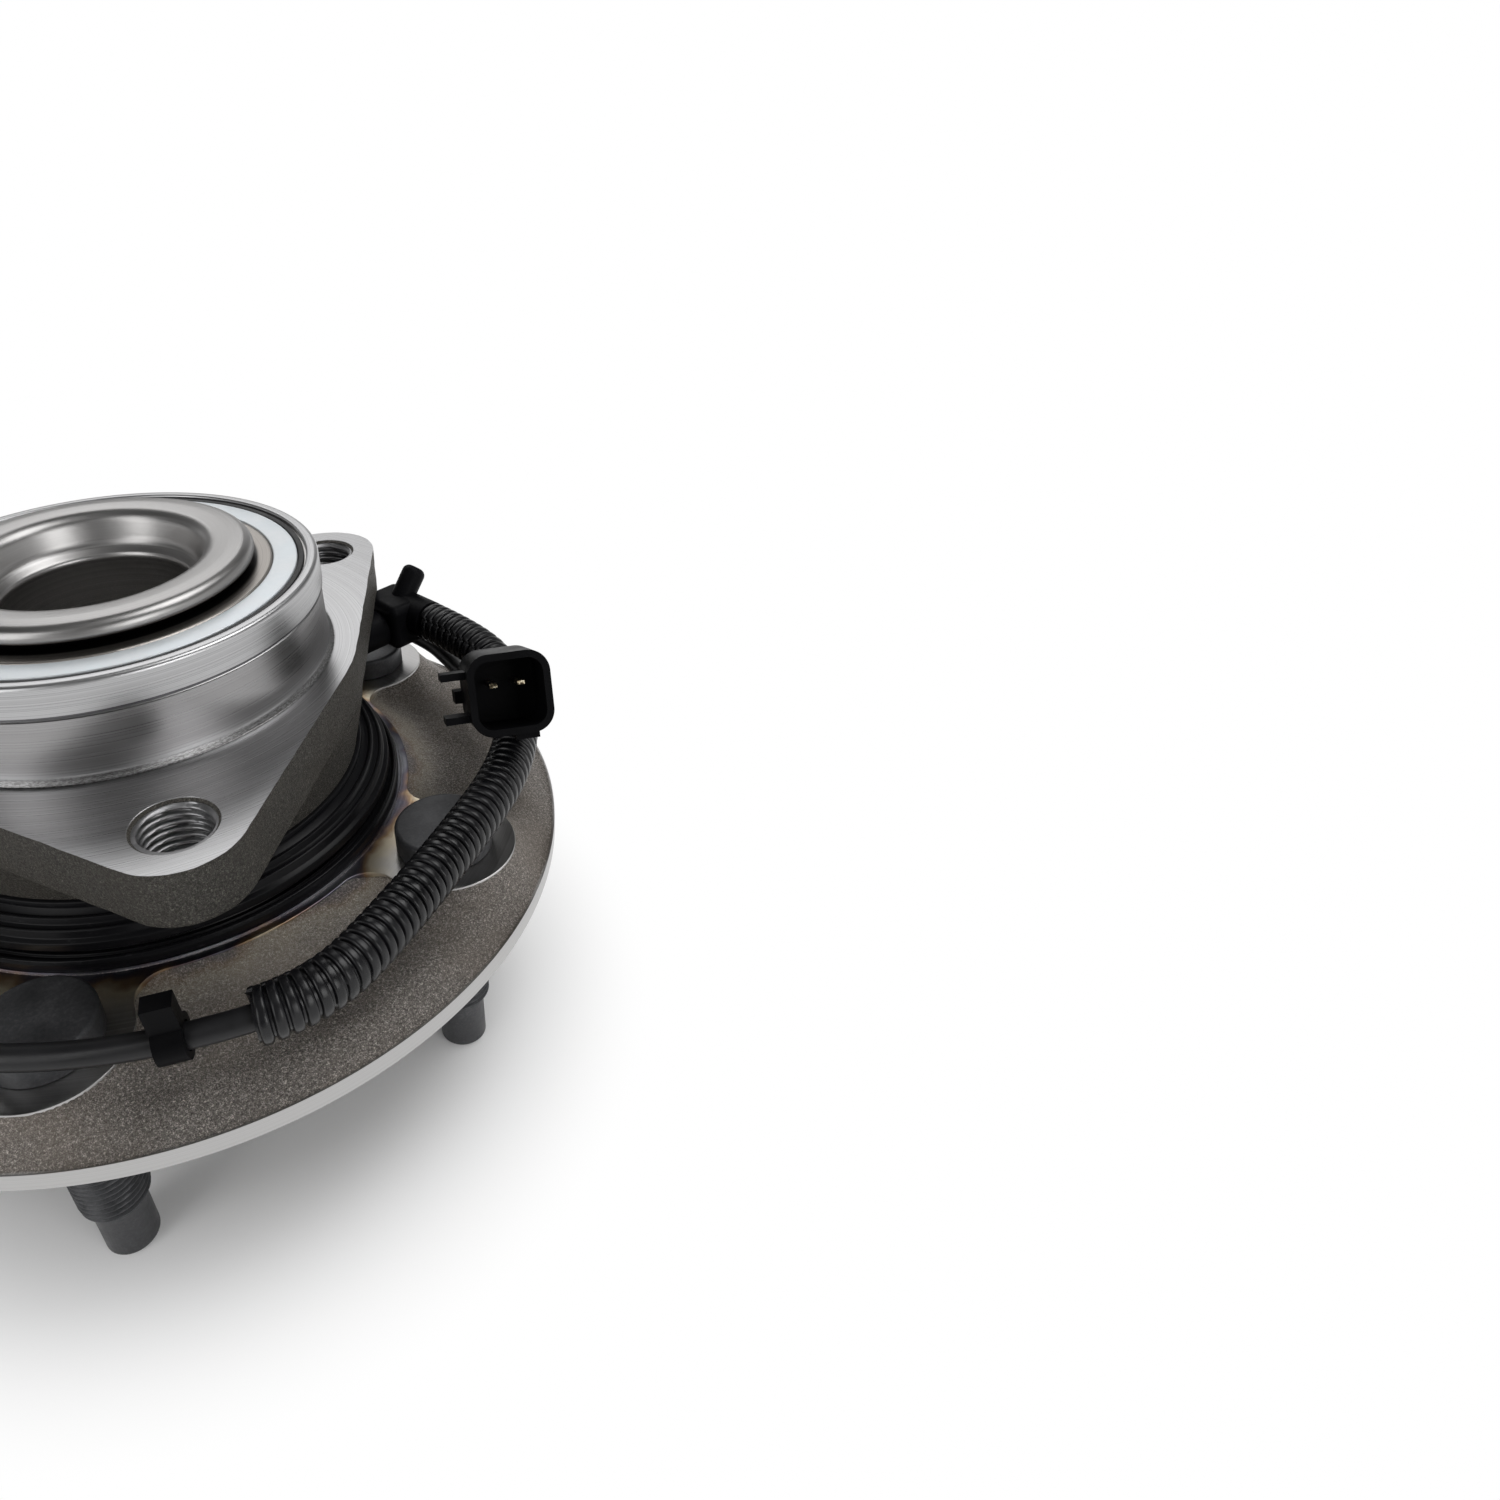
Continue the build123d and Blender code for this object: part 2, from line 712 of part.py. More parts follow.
def harness_clip():
    """Band and tab on the cable beyond the conduit."""
    station = (conduit_path.length + clip_station) / cable_path.length
    band = Cylinder(cable_radius + free + clip_wall, clip_width)
    reach = cable_radius + free + clip_wall
    tab = Box(reach + clip_tab_height, clip_tab_width, clip_width,
              align=(Align.MIN, Align.CENTER, Align.CENTER))
    clip = band + tab - Cylinder(cable_radius + free, 2 * clip_width)
    return Plane(origin=cable_path @ station, x_dir=(0, 0, 1), z_dir=cable_path % station) * clip


# Files -------------------------------------------------------------------------------------

nodes = {
    "outer_ring": outer_ring(),
    "inboard_inner_ring": inboard(inner_ring()),
    "outboard_inner_ring": outboard(inner_ring()),
    "inboard_rollers": rollers(inboard),
    "outboard_rollers": rollers(outboard),
    "inboard_cage": inboard(cage()),
    "outboard_cage": outboard(cage()),
    "tone_ring": tone_ring(),
    "hub": hub(),
    "wheel_studs": around(stud_count, wheel_stud(), first_stud_angle),
    "inboard_slinger": inboard_slinger(),
    "inboard_seal_case": inboard_seal_case(),
    "inboard_seal_rubber": inboard_seal_rubber(),
    "outboard_seal_case": outboard_seal_case(),
    "outboard_seal_lip": outboard_seal_lip(),
    "outboard_shield": outboard_shield(),
    "deflector": deflector(),
    "sensor_body": sensor_body(),
    "sensor_oring": sensor_oring(),
    "connector_shell": connector_shell(),
    "connector_terminals": connector_terminals(),
    "connector_lock": on_connector(lock()),
    "connector_gland": connector_gland(),
    "cable": cable(),
    "conduit": conduit(),
    "harness_clip": harness_clip(),
}

for name, shape in nodes.items():
    solids = shape if isinstance(shape, list) else [shape]
    export_step(Compound(solids) if len(solids) > 1 else solids[0], f"parts/{name}.step")

print("cable length", round(cable_path.length, 1))
print("corner radii", [round(radius, 1) for radius in cable_radii])
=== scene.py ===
from math import acos, cos, degrees, exp, modf, pi, radians, sin, sqrt, tan

import bmesh
import bpy
import numpy as np
from mathutils import Matrix, Vector, noise


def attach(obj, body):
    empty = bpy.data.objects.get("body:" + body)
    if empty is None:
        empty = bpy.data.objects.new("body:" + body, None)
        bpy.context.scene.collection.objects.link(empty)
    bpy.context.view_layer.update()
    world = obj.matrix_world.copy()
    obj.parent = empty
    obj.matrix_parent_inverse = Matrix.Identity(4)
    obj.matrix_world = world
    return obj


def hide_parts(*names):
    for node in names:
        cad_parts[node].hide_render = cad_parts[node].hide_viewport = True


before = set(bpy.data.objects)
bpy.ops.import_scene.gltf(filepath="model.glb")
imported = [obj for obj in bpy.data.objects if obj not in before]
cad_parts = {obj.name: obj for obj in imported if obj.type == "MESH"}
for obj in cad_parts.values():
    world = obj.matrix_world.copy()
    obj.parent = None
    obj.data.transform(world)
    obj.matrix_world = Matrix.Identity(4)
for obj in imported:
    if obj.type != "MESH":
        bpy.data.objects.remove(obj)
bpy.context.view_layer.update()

MM = 0.001


# Sizes in millimetres, as in the CAD -------------------------------------------------------

fit = 0.02                   # between pressed or clamped pieces of one body
wheel_face = 48.2
pad_top = 60.3               # turned pads, on which the stud heads sit
ring_bottom = 68.5
knuckle_face = 95.4
knuckle_flange_bottom = 83.4
ring_top = 115.0
inner_top = 114.5            # inner ring, on which the formed head lies
head_top = 119.0

bore_radius = 18.3
spindle_radius = 25.5
hub_flange_radius = 90.5
pilot_radius = 44.2
seal_bore_radius = 41.75
barrel_end_radius = 46.3
web_radius = 49.7            # web between the lobes of the knuckle flange
flange_bore = 47.0           # where the knuckle flange built here meets its barrel

lobes = 3
lobe_circle = 62.35
lobe_radius = 12.5
first_lobe_angle = -90
knuckle_bolt_radius = 7.0

stud_count = 5
stud_circle = 69.85
first_stud_angle = -43.3
stud_radius = 7.0
pad_radius = 15.0

thread_pitch = 1.5
thread_depth = 0.86


# Camera ------------------------------------------------------------------------------------

camera_lens, camera_sensor = 24.16, 36.0
camera_shift = 2 / 15        # the optical axis is left of the middle of the photograph
camera_place = Vector((-3.15, -204.76, 198.27))
camera_right = Vector((0.8856, -0.4641, -0.0193))
camera_ahead = Vector((0.3707, 0.7311, -0.5728))


def make_camera():
    """Camera at the photograph's place, fitted to its circles and holes."""
    data = bpy.data.cameras.new("camera")
    data.lens, data.sensor_width, data.shift_x = camera_lens, camera_sensor, camera_shift
    data.clip_start, data.clip_end = 0.01, 20.0
    camera = bpy.data.objects.new("camera", data)
    bpy.context.scene.collection.objects.link(camera)
    turn = Matrix((camera_right, camera_right.cross(camera_ahead), -camera_ahead)).transposed()
    camera.matrix_world = Matrix.Translation(camera_place * MM) @ turn.to_4x4()
    bpy.context.scene.camera = camera


make_camera()


# Harness -----------------------------------------------------------------------------------

cable_route = [
    (74.53, 14.12, 78.35), (79.3, 0.28, 78.35), (82.3, -12.6, 75.6), (77.8, -30.0, 71.4),
    (66.7, -46.3, 71.3), (50.0, -60.7, 71.3), (31.6, -74.9, 71.3), (13.6, -86.6, 71.2),
    (-7.0, -84.0, 70.0), (-29.0, -76.0, 68.6), (-51.0, -62.0, 68.4), (-69.0, -42.0, 68.4),
    (-79.0, -17.0, 68.4), (-79.5, 10.0, 68.4), (-70.0, 36.0, 68.4), (-52.0, 58.0, 68.4),
    (-28.0, 73.0, 68.4), (-1.0, 78.5, 68.4), (26.0, 74.5, 68.4), (50.0, 61.0, 68.4),
    (68.0, 42.0, 68.4), (76.5, 22.5, 68.4), (77.4, 9.5, 68.5), (76.4, -2.5, 70.3),
    (77.09, -15.2, 75.8), (74.05, -26.55, 81.29)]
cable_length, cable_diameter = 0.5478, 0.0046    # metres
conduit_end = Vector((3.2, -85.4, 70.6)) * MM
conduit_pitch = 2.25         # from rib to rib
conduit_bore = 3.4           # inner radius
conduit_groove = 4.2         # radius in the grooves
conduit_rib = 0.78           # ribs above the grooves
slit_angle = 2.5             # radians round the sleeve, from its outer side over the top


def show(name, data):
    """Object of a mesh, curve or lamp, in the scene."""
    thing = bpy.data.objects.new(name, data)
    bpy.context.scene.collection.objects.link(thing)
    return thing


def nurbs(name, points):
    """Curve of one smooth spline whose control points are places in millimetres."""
    data = bpy.data.curves.new(name, "CURVE")
    data.dimensions = "3D"
    spline = data.splines.new("NURBS")
    spline.points.add(len(points) - 1)
    for point, place in zip(spline.points, points):
        point.co = (*(Vector(place) * MM), 1.0)
    spline.order_u = 3
    spline.use_endpoint_u = True
    return data


def read_line(points):
    """Points along the smooth line of a route, as Blender evaluates it."""
    data = nurbs("route_line", points)
    data.splines[0].resolution_u = 24
    guide = show("route_line", data)
    bpy.context.view_layer.update()
    mesh = bpy.data.meshes.new_from_object(guide.evaluated_get(
        bpy.context.evaluated_depsgraph_get()))
    line = [vertex.co.copy() for vertex in mesh.vertices]
    bpy.data.objects.remove(guide)
    bpy.data.curves.remove(data)
    bpy.data.meshes.remove(mesh)
    return line


def walk(line, stop, step):
    """Places and directions along a line up to a length, about a step apart."""
    lengths = [0.0]
    for before, here in zip(line, line[1:]):
        lengths.append(lengths[-1] + (here - before).length)
    stop = min(stop, lengths[-1])
    steps = max(1, round(stop / step))
    out, index = [], 0
    for number in range(steps + 1):
        want = stop * number / steps
        while index < len(line) - 2 and lengths[index + 1] < want:
            index += 1
        part = (want - lengths[index]) / (lengths[index + 1] - lengths[index])
        before, after = line[index:index + 2]
        out.append((before.lerp(after, part), (after - before).normalized()))
    return out


# Mesh helpers ------------------------------------------------------------------------------

def arc(centre, start, stop, steps):
    """Points the short way round centre from start up to, but without, stop."""
    swing = (start - centre).angle_signed(stop - centre)
    return [centre + Matrix.Rotation(-swing * number / steps, 2) @ (start - centre)
            for number in range(steps)]


def rounded(corners, arc_steps):
    """Corners (radius, height[, fillet]) of a profile as points, with its fillets as short arcs."""
    points = [Vector(corner[:2]) for corner in corners]
    out = []
    for index, corner in enumerate(corners):
        here = points[index]
        if len(corner) < 3 or not corner[2]:
            out.append(here)
            continue
        back = (points[index - 1] - here).normalized()
        ahead = (points[(index + 1) % len(points)] - here).normalized()
        half = back.angle(ahead) / 2
        reach = corner[2] / tan(half)
        centre = here + (back + ahead).normalized() * (corner[2] / sin(half))
        stop = here + ahead * reach
        out += arc(centre, here + back * reach, stop, arc_steps) + [stop]
    return out


def finer(points, step, inside):
    """Points of a closed profile with no run longer than step where inside(radius, height)."""
    out = []
    for here, after in zip(points, points[1:] + points[:1]):
        out.append(here)
        if inside(*here) and inside(*after):
            count = int((after - here).length / step)
            out += [here.lerp(after, number / (count + 1)) for number in range(1, count + 1)]
    return out


def add_mesh(name, places, faces, angle, attributes=None):
    """Smooth mesh with sharp edges from an angle in degrees, and values at its points."""
    mesh = bpy.data.meshes.new(name)
    mesh.from_pydata([tuple(place) for place in places], [], faces)
    for key, values in (attributes or {}).items():
        mesh.attributes.new(key, "FLOAT", "POINT").data.foreach_set("value", values)
    mesh.shade_smooth()
    mesh.set_sharp_from_angle(angle=radians(angle))
    return show(name, mesh)


def ring_faces(rows, columns, close_rows=True):
    """Quads of a grid whose columns close on themselves, and whose rows may."""
    faces = []
    for row in range(rows if close_rows else rows - 1):
        after = (row + 1) % rows
        for column in range(columns):
            beside = (column + 1) % columns
            faces.append((row * columns + column, row * columns + beside,
                          after * columns + beside, after * columns + column))
    return faces


def lathe(name, points, steps, shape=None, centre=(0, 0), open_ends=False, **options):
    """Solid of revolution in millimetres; shape(radius, height, angle) may bend it."""
    places = []
    for point in points:
        for step in range(steps):
            angle = 2 * pi * step / steps
            radius, height = shape(point.x, point.y, angle) if shape else point
            places.append(((centre[0] + radius * cos(angle)) * MM,
                           (centre[1] + radius * sin(angle)) * MM, height * MM))
    faces = ring_faces(len(points), steps, not open_ends)
    if open_ends:
        faces += [tuple(reversed(range(steps))),
                  tuple(range((len(points) - 1) * steps, len(points) * steps))]
    return add_mesh(name, places, faces, **options)


def plate(name, outlines, bottom, top, edge):
    """Flat plate in millimetres with a small bevel; outlines after the first are holes."""
    data = bpy.data.curves.new(name, "CURVE")
    data.dimensions, data.fill_mode = "2D", "BOTH"
    for outline in outlines:
        spline = data.splines.new("POLY")
        spline.points.add(len(outline) - 1)
        for point, place in zip(spline.points, outline):
            point.co = (place.x * MM, place.y * MM, 0, 1)
        spline.use_cyclic_u = True
    data.extrude = ((top - bottom) / 2 - edge) * MM
    data.bevel_depth, data.bevel_resolution, data.offset = edge * MM, 1, -edge * MM
    mesh = bpy.data.meshes.new_from_object(bpy.data.objects.new(name, data))
    mesh.transform(Matrix.Translation((0, 0, (top + bottom) / 2 * MM)))
    mesh.name = name
    mesh.shade_smooth()
    mesh.set_sharp_from_angle(angle=radians(25))
    return show(name, mesh)


def joined(name, things):
    """One object from several meshes."""
    bpy.ops.object.select_all(action="DESELECT")
    for thing in things:
        thing.select_set(True)
    bpy.context.view_layer.objects.active = things[0]
    bpy.ops.object.join()
    things[0].name = things[0].data.name = name
    return things[0]


def toward(angle):
    """Direction across the hub axis at an angle in degrees."""
    return Vector((cos(radians(angle)), sin(radians(angle))))


def add_piece(piece, material, body, node):
    """Give a piece its material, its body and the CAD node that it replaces."""
    piece.data.materials.append(material)
    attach(piece, body)
    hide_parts(node)


stud_angles = [first_stud_angle + 360 / stud_count * number for number in range(stud_count)]
stud_places = [toward(angle) * stud_circle for angle in stud_angles]
lobe_angles = [first_lobe_angle + 360 // lobes * number for number in range(lobes)]


# Materials ---------------------------------------------------------------------------------

def toned(color, factor):
    """A colour made lighter or darker, with no channel above 1."""
    return tuple(min(1.0, channel * factor) for channel in color)


class Shader:
    """A node material whose patterns are read in millimetres in the part's own frame."""

    def __init__(self, name, color, metallic=0.0, roughness=0.5):
        self.material = bpy.data.materials.new(name)
        self.material.use_nodes = True
        self.tree = self.material.node_tree
        self.surface = self.tree.nodes["Principled BSDF"]
        self.set("Base Color", (*color, 1.0))
        self.set("Metallic", metallic)
        self.set("Roughness", roughness)
        scale = self.add("ShaderNodeVectorMath", operation="SCALE")
        self.link(self.add("ShaderNodeTexCoord").outputs["Object"], scale.inputs[0])
        scale.inputs["Scale"].default_value = 1000.0
        self.place = scale.outputs[0]
        split = self.add("ShaderNodeSeparateXYZ")
        self.link(self.place, split.inputs[0])
        x, y, self.z = split.outputs
        self.radius = self.math("SQRT", self.math(
            "ADD", self.math("MULTIPLY", x, x), self.math("MULTIPLY", y, y)))

    def add(self, kind, **settings):
        node = self.tree.nodes.new(kind)
        for key, value in settings.items():
            setattr(node, key, value)
        return node

    def link(self, value, socket):
        """Join a socket to another one, or set it to a number or a colour."""
        if isinstance(value, bpy.types.NodeSocket):
            self.tree.links.new(value, socket)
        elif hasattr(socket.default_value, "__len__") and len(socket.default_value) == 4:
            socket.default_value = (*value, 1.0) if len(value) == 3 else value
        else:
            socket.default_value = value

    def set(self, name, value):
        self.link(value, self.surface.inputs[name])

    def math(self, operation, first, second=0.5):
        node = self.add("ShaderNodeMath", operation=operation)
        for socket, value in zip(node.inputs, (first, second)):
            self.link(value, socket)
        return node.outputs[0]

    def blend(self, part, first, second):
        """The first colour, with a part of the second."""
        node = self.add("ShaderNodeMix", data_type="RGBA", blend_type="MIX", clamp_factor=True)
        for socket, value in zip((node.inputs[0], node.inputs[6], node.inputs[7]),
                                 (part, first, second)):
            self.link(value, socket)
        return node.outputs[2]

    def between(self, value, low, high, first=0.0, second=1.0, smooth=True):
        """Value mapped from low..high to first..second."""
        node = self.add("ShaderNodeMapRange", interpolation_type="SMOOTHSTEP" if smooth
                        else "LINEAR")
        for socket, entry in zip(node.inputs, (value, low, high, first, second)):
            self.link(entry, socket)
        return node.outputs[0]

    def noise(self, scale, detail=3.0, rough=0.55, stretch=None):
        node = self.add("ShaderNodeTexNoise")
        where = self.place
        if stretch:
            squeeze = self.add("ShaderNodeVectorMath", operation="MULTIPLY")
            self.link(where, squeeze.inputs[0])
            squeeze.inputs[1].default_value = stretch
            where = squeeze.outputs[0]
        self.link(where, node.inputs["Vector"])
        node.inputs["Scale"].default_value = scale
        node.inputs["Detail"].default_value = detail
        node.inputs["Roughness"].default_value = rough
        return node.outputs["Fac"]

    def lines(self, value, scale, detail=2.0, rough=0.6):
        """Streaks that change only with value, such as turning marks along a radius."""
        node = self.add("ShaderNodeTexNoise", noise_dimensions="1D")
        self.link(value, node.inputs["W"])
        node.inputs["Scale"].default_value = scale
        node.inputs["Detail"].default_value = detail
        node.inputs["Roughness"].default_value = rough
        return node.outputs["Fac"]

    def ramp(self, value, *stops):
        """Colour along stops of (position, colour)."""
        node = self.add("ShaderNodeValToRGB")
        elements = node.color_ramp.elements
        while len(elements) < len(stops):
            elements.new(0.5)
        for element, (position, color) in zip(elements, stops):
            element.position = position
            element.color = (*color, 1.0)
        self.link(value, node.inputs[0])
        return node.outputs[0]

    def mean(self, first, second):
        return self.math("ADD", self.math("MULTIPLY", first, 0.5),
                         self.math("MULTIPLY", second, 0.5))

    def profile(self):
        """Radius and height together, which changes along every turned face."""
        return self.math("ADD", self.radius, self.z)

    def attribute(self, name):
        return self.add("ShaderNodeAttribute", attribute_name=name).outputs["Fac"]

    def bump(self, *layers):
        """Layers of (height, strength, depth in millimetres)."""
        normal = None
        for height, strength, depth in layers:
            node = self.add("ShaderNodeBump")
            self.link(height, node.inputs["Height"])
            self.link(strength, node.inputs["Strength"])
            node.inputs["Distance"].default_value = depth * MM
            if normal is not None:
                self.link(normal, node.inputs["Normal"])
            normal = node.outputs[0]
        self.link(normal, self.surface.inputs["Normal"])

    def brushed_round(self, amount):
        """Anisotropic gloss along the turning marks round the hub axis."""
        self.set("Anisotropic", amount)
        tangent = self.add("ShaderNodeTangent", direction_type="RADIAL", axis="Z")
        self.link(tangent.outputs[0], self.surface.inputs["Tangent"])


def turned_steel(name, color=(0.60, 0.60, 0.61), roughness=0.24):
    """Turned steel: fine marks round the axis, a little uneven in gloss."""
    shader = Shader(name, color, metallic=1.0, roughness=roughness)
    marks = shader.lines(shader.profile(), 2.6, 5.0, 0.75)
    broad = shader.noise(0.05, 2.0)
    shader.set("Base Color", shader.blend(shader.between(marks, 0.3, 0.7),
                                          toned(color, 0.86), toned(color, 1.10)))
    shader.set("Roughness", shader.math(
        "ADD", shader.between(marks, 0.3, 0.75, roughness * 0.8, roughness * 1.25),
        shader.between(broad, 0.3, 0.7, -0.03, 0.04)))
    shader.bump((marks, 0.35, 0.03))
    shader.brushed_round(0.55)
    return shader.material


def plastic(name, color, roughness, grain=1.4, depth=0.02, shine=0.3):
    """Moulded plastic or rubber with a fine skin and faint flow and dust variation."""
    shader = Shader(name, color, roughness=roughness)
    fine = shader.noise(grain, 3.0, 0.6)
    cloud = shader.noise(0.09, 3.0, 0.5)
    shader.set("Base Color", shader.blend(shader.between(cloud, 0.3, 0.7),
                                          toned(color, 0.8), toned(color, 1.3)))
    shader.set("Roughness", shader.math(
        "ADD", shader.between(cloud, 0.3, 0.7, roughness - 0.05, roughness + 0.06),
        shader.between(fine, 0.3, 0.7, -0.03, 0.03)))
    shader.set("Specular IOR Level", shine)
    shader.bump((fine, 0.5, depth))
    return shader.material


def forging(shader, color, grain):
    """Colour, roughness and bump height of a forged, blasted skin."""
    coarse = shader.noise(1.2 * grain, 4.0, 0.75)
    fine = shader.noise(2.8 * grain, 2.0, 0.70)
    cloud = shader.noise(0.05, 3.0, 0.5)
    height = shader.mean(coarse, fine)
    tone = shader.ramp(height, (0.38, toned(color, 0.40)), (0.50, color),
                       (0.56, toned(color, 1.7)), (0.63, toned(color, 4.0)))
    warm = tuple(channel * factor for channel, factor in zip(color, (1.12, 1.03, 0.93)))
    tone = shader.blend(shader.between(cloud, 0.35, 0.70, 0.0, 0.4), tone, warm)
    return tone, shader.between(height, 0.35, 0.65, 0.60, 0.38), height


def part_forged(shader, machined, gloss, forged_roughness):
    """Roughness of a piece that is machined where machined is 1, and forged elsewhere."""
    return shader.math("ADD", shader.math("MULTIPLY", machined, gloss), shader.math(
        "MULTIPLY", shader.math("SUBTRACT", 1.0, machined), forged_roughness))


def phosphate_coat():
    """Dark, slightly metallic coat of the studs, with specks and rubbed places."""
    shader = Shader("black_phosphate", (0.055, 0.056, 0.060), metallic=0.35, roughness=0.42)
    speck = shader.noise(1.6, 4.0, 0.7)
    wear = shader.noise(0.16, 3.0, 0.6)
    shader.set("Base Color", shader.ramp(
        shader.mean(speck, wear), (0.35, (0.032, 0.033, 0.036)),
        (0.55, (0.060, 0.061, 0.065)), (0.75, (0.12, 0.12, 0.125))))
    shader.set("Roughness", shader.between(wear, 0.3, 0.7, 0.36, 0.52))
    shader.bump((speck, 0.4, 0.04))
    return shader.material


def pale_zinc():
    """Pale bluish zinc with faint clouds and turning marks."""
    shader = Shader("pale_zinc", (0.70, 0.74, 0.77), metallic=0.4, roughness=0.38)
    bloom = shader.noise(0.12, 4.0, 0.6)
    shader.set("Base Color", shader.blend(shader.between(bloom, 0.3, 0.7),
                                          (0.66, 0.71, 0.74), (0.77, 0.80, 0.82)))
    shader.set("Roughness", shader.between(bloom, 0.3, 0.7, 0.33, 0.44))
    shader.bump((shader.lines(shader.radius, 1.8, 3.0), 0.15, 0.02),
                (shader.noise(1.2, 3.0), 0.2, 0.01))
    return shader.material


def tinned_blade():
    """Tinned brass blades, dull in places."""
    shader = Shader("tinned_blade", (0.5, 0.42, 0.28), metallic=1.0, roughness=0.25)
    shader.set("Base Color", shader.ramp(
        shader.noise(1.4, 2.0), (0.42, (0.07, 0.055, 0.04)), (0.52, (0.45, 0.36, 0.22)),
        (0.62, (0.95, 0.86, 0.66))))
    shader.set("Roughness", shader.between(shader.noise(0.7, 2.0), 0.3, 0.7, 0.18, 0.34))
    shader.bump((shader.noise(2.2, 3.0), 0.3, 0.01))
    return shader.material


def black_coating():
    """Black coat over pressed rings: glossy along the ridges, with dust and scuffs."""
    shader = Shader("black_coating", (0.012, 0.012, 0.014), metallic=0.0, roughness=0.30)
    shader.set("Specular IOR Level", 0.14)
    marks = shader.lines(shader.profile(), 1.3, 4.0, 0.65)
    dust = shader.noise(0.35, 5.0, 0.7, stretch=(1.0, 1.0, 3.0))
    dusty = shader.between(dust, 0.58, 0.78, 0.0, 0.55)
    shader.set("Base Color", shader.blend(dusty, (0.007, 0.007, 0.008), (0.045, 0.045, 0.048)))
    shader.set("Roughness", shader.math("ADD", shader.between(marks, 0.3, 0.7, 0.26, 0.42),
                                        shader.math("MULTIPLY", dusty, 0.3)))
    shader.bump((marks, 0.3, 0.04), (dust, 0.25, 0.05))
    return shader.material


def rib_steel():
    """Ground rib of the inner ring, beige at its rim and shaded below the formed head."""
    shader = Shader("rib_steel", (0.33, 0.31, 0.29), metallic=1.0, roughness=0.36)
    marks = shader.lines(shader.radius, 4.0, 3.0, 0.7)
    tone = shader.blend(shader.between(marks, 0.3, 0.7), (0.28, 0.26, 0.24), (0.40, 0.375, 0.35))
    # Painted shade: the rib turns near black where it lies under the formed head.
    shade_under_head = shader.between(shader.radius, 31.8, 32.5, 1.0, 0.0)
    shader.set("Base Color", shader.blend(shade_under_head, tone, (0.035, 0.034, 0.034)))
    shader.set("Roughness", shader.between(marks, 0.3, 0.7, 0.30, 0.42))
    shader.bump((marks, 0.2, 0.02))
    shader.brushed_round(0.4)
    return shader.material


def ring_steel():
    """Forged skin with the pilot and the knuckle face turned and partly ground."""
    shader = Shader("outer_ring_steel", (0.6, 0.6, 0.6), metallic=1.0, roughness=0.25)
    forged, forged_roughness, grain = forging(shader, (0.070, 0.066, 0.058), 1.7)
    machined = shader.between(shader.z, knuckle_face - 0.12, knuckle_face - 0.04, smooth=False)
    marks = shader.lines(shader.profile(), 3.6, 3.0, 0.8)
    bands = shader.lines(shader.profile(), 0.33, 2.0, 0.5)
    tone = shader.ramp(marks, (0.34, (0.34, 0.34, 0.345)), (0.50, (0.45, 0.45, 0.455)),
                       (0.66, (0.56, 0.56, 0.565)))
    tone = shader.blend(shader.between(bands, 0.40, 0.62, 0.0, 0.22), tone, (0.36, 0.355, 0.36))
    relief = shader.math("MULTIPLY", shader.between(shader.z, 96.5, 98.5),
                         shader.between(shader.z, 108.3, 108.5, 1.0, 0.0))
    tone = shader.blend(shader.math("MULTIPLY", relief, 0.6), tone, (0.27, 0.26, 0.26))
    # Painted shade: the undercut groove above the relief is coloured near black.
    groove = shader.math("MULTIPLY", shader.between(shader.z, 108.4, 108.55, smooth=False),
                         shader.between(shader.z, 108.9, 109.05, 1.0, 0.0, smooth=False))
    tone = shader.blend(shader.math("MULTIPLY", groove, 0.85), tone, (0.05, 0.05, 0.055))
    # Painted shade in the concave foot fillet of the pilot; streaks of torn metal show through it.
    foot_shade = shader.math("MULTIPLY", shader.between(shader.z, 96.2, 97.0, 1.0, 0.0),
                       shader.between(shader.radius, 44.7, 45.1, 1.0, 0.0))
    torn = shader.noise(1.6, 3.0, 0.7, stretch=(1.0, 1.0, 4.0))
    left = shader.math("MULTIPLY", foot_shade, shader.between(torn, 0.40, 0.60, 0.90, 0.55))
    tone = shader.blend(left, tone, (0.07, 0.068, 0.066))
    shader.set("Base Color", shader.blend(machined, forged, tone))
    shader.set("Metallic", shader.between(machined, 0.0, 1.0, 0.35, 1.0))
    shader.set("Roughness", part_forged(shader, machined, shader.between(
        marks, 0.3, 0.7, 0.27, 0.35), forged_roughness))
    shader.bump((grain, shader.between(machined, 0.0, 1.0, 1.0, 0.0), 0.8),
                (marks, shader.between(machined, 0.0, 1.0, 0.0, 0.25), 0.02))
    shader.brushed_round(0.5)
    return shader.material


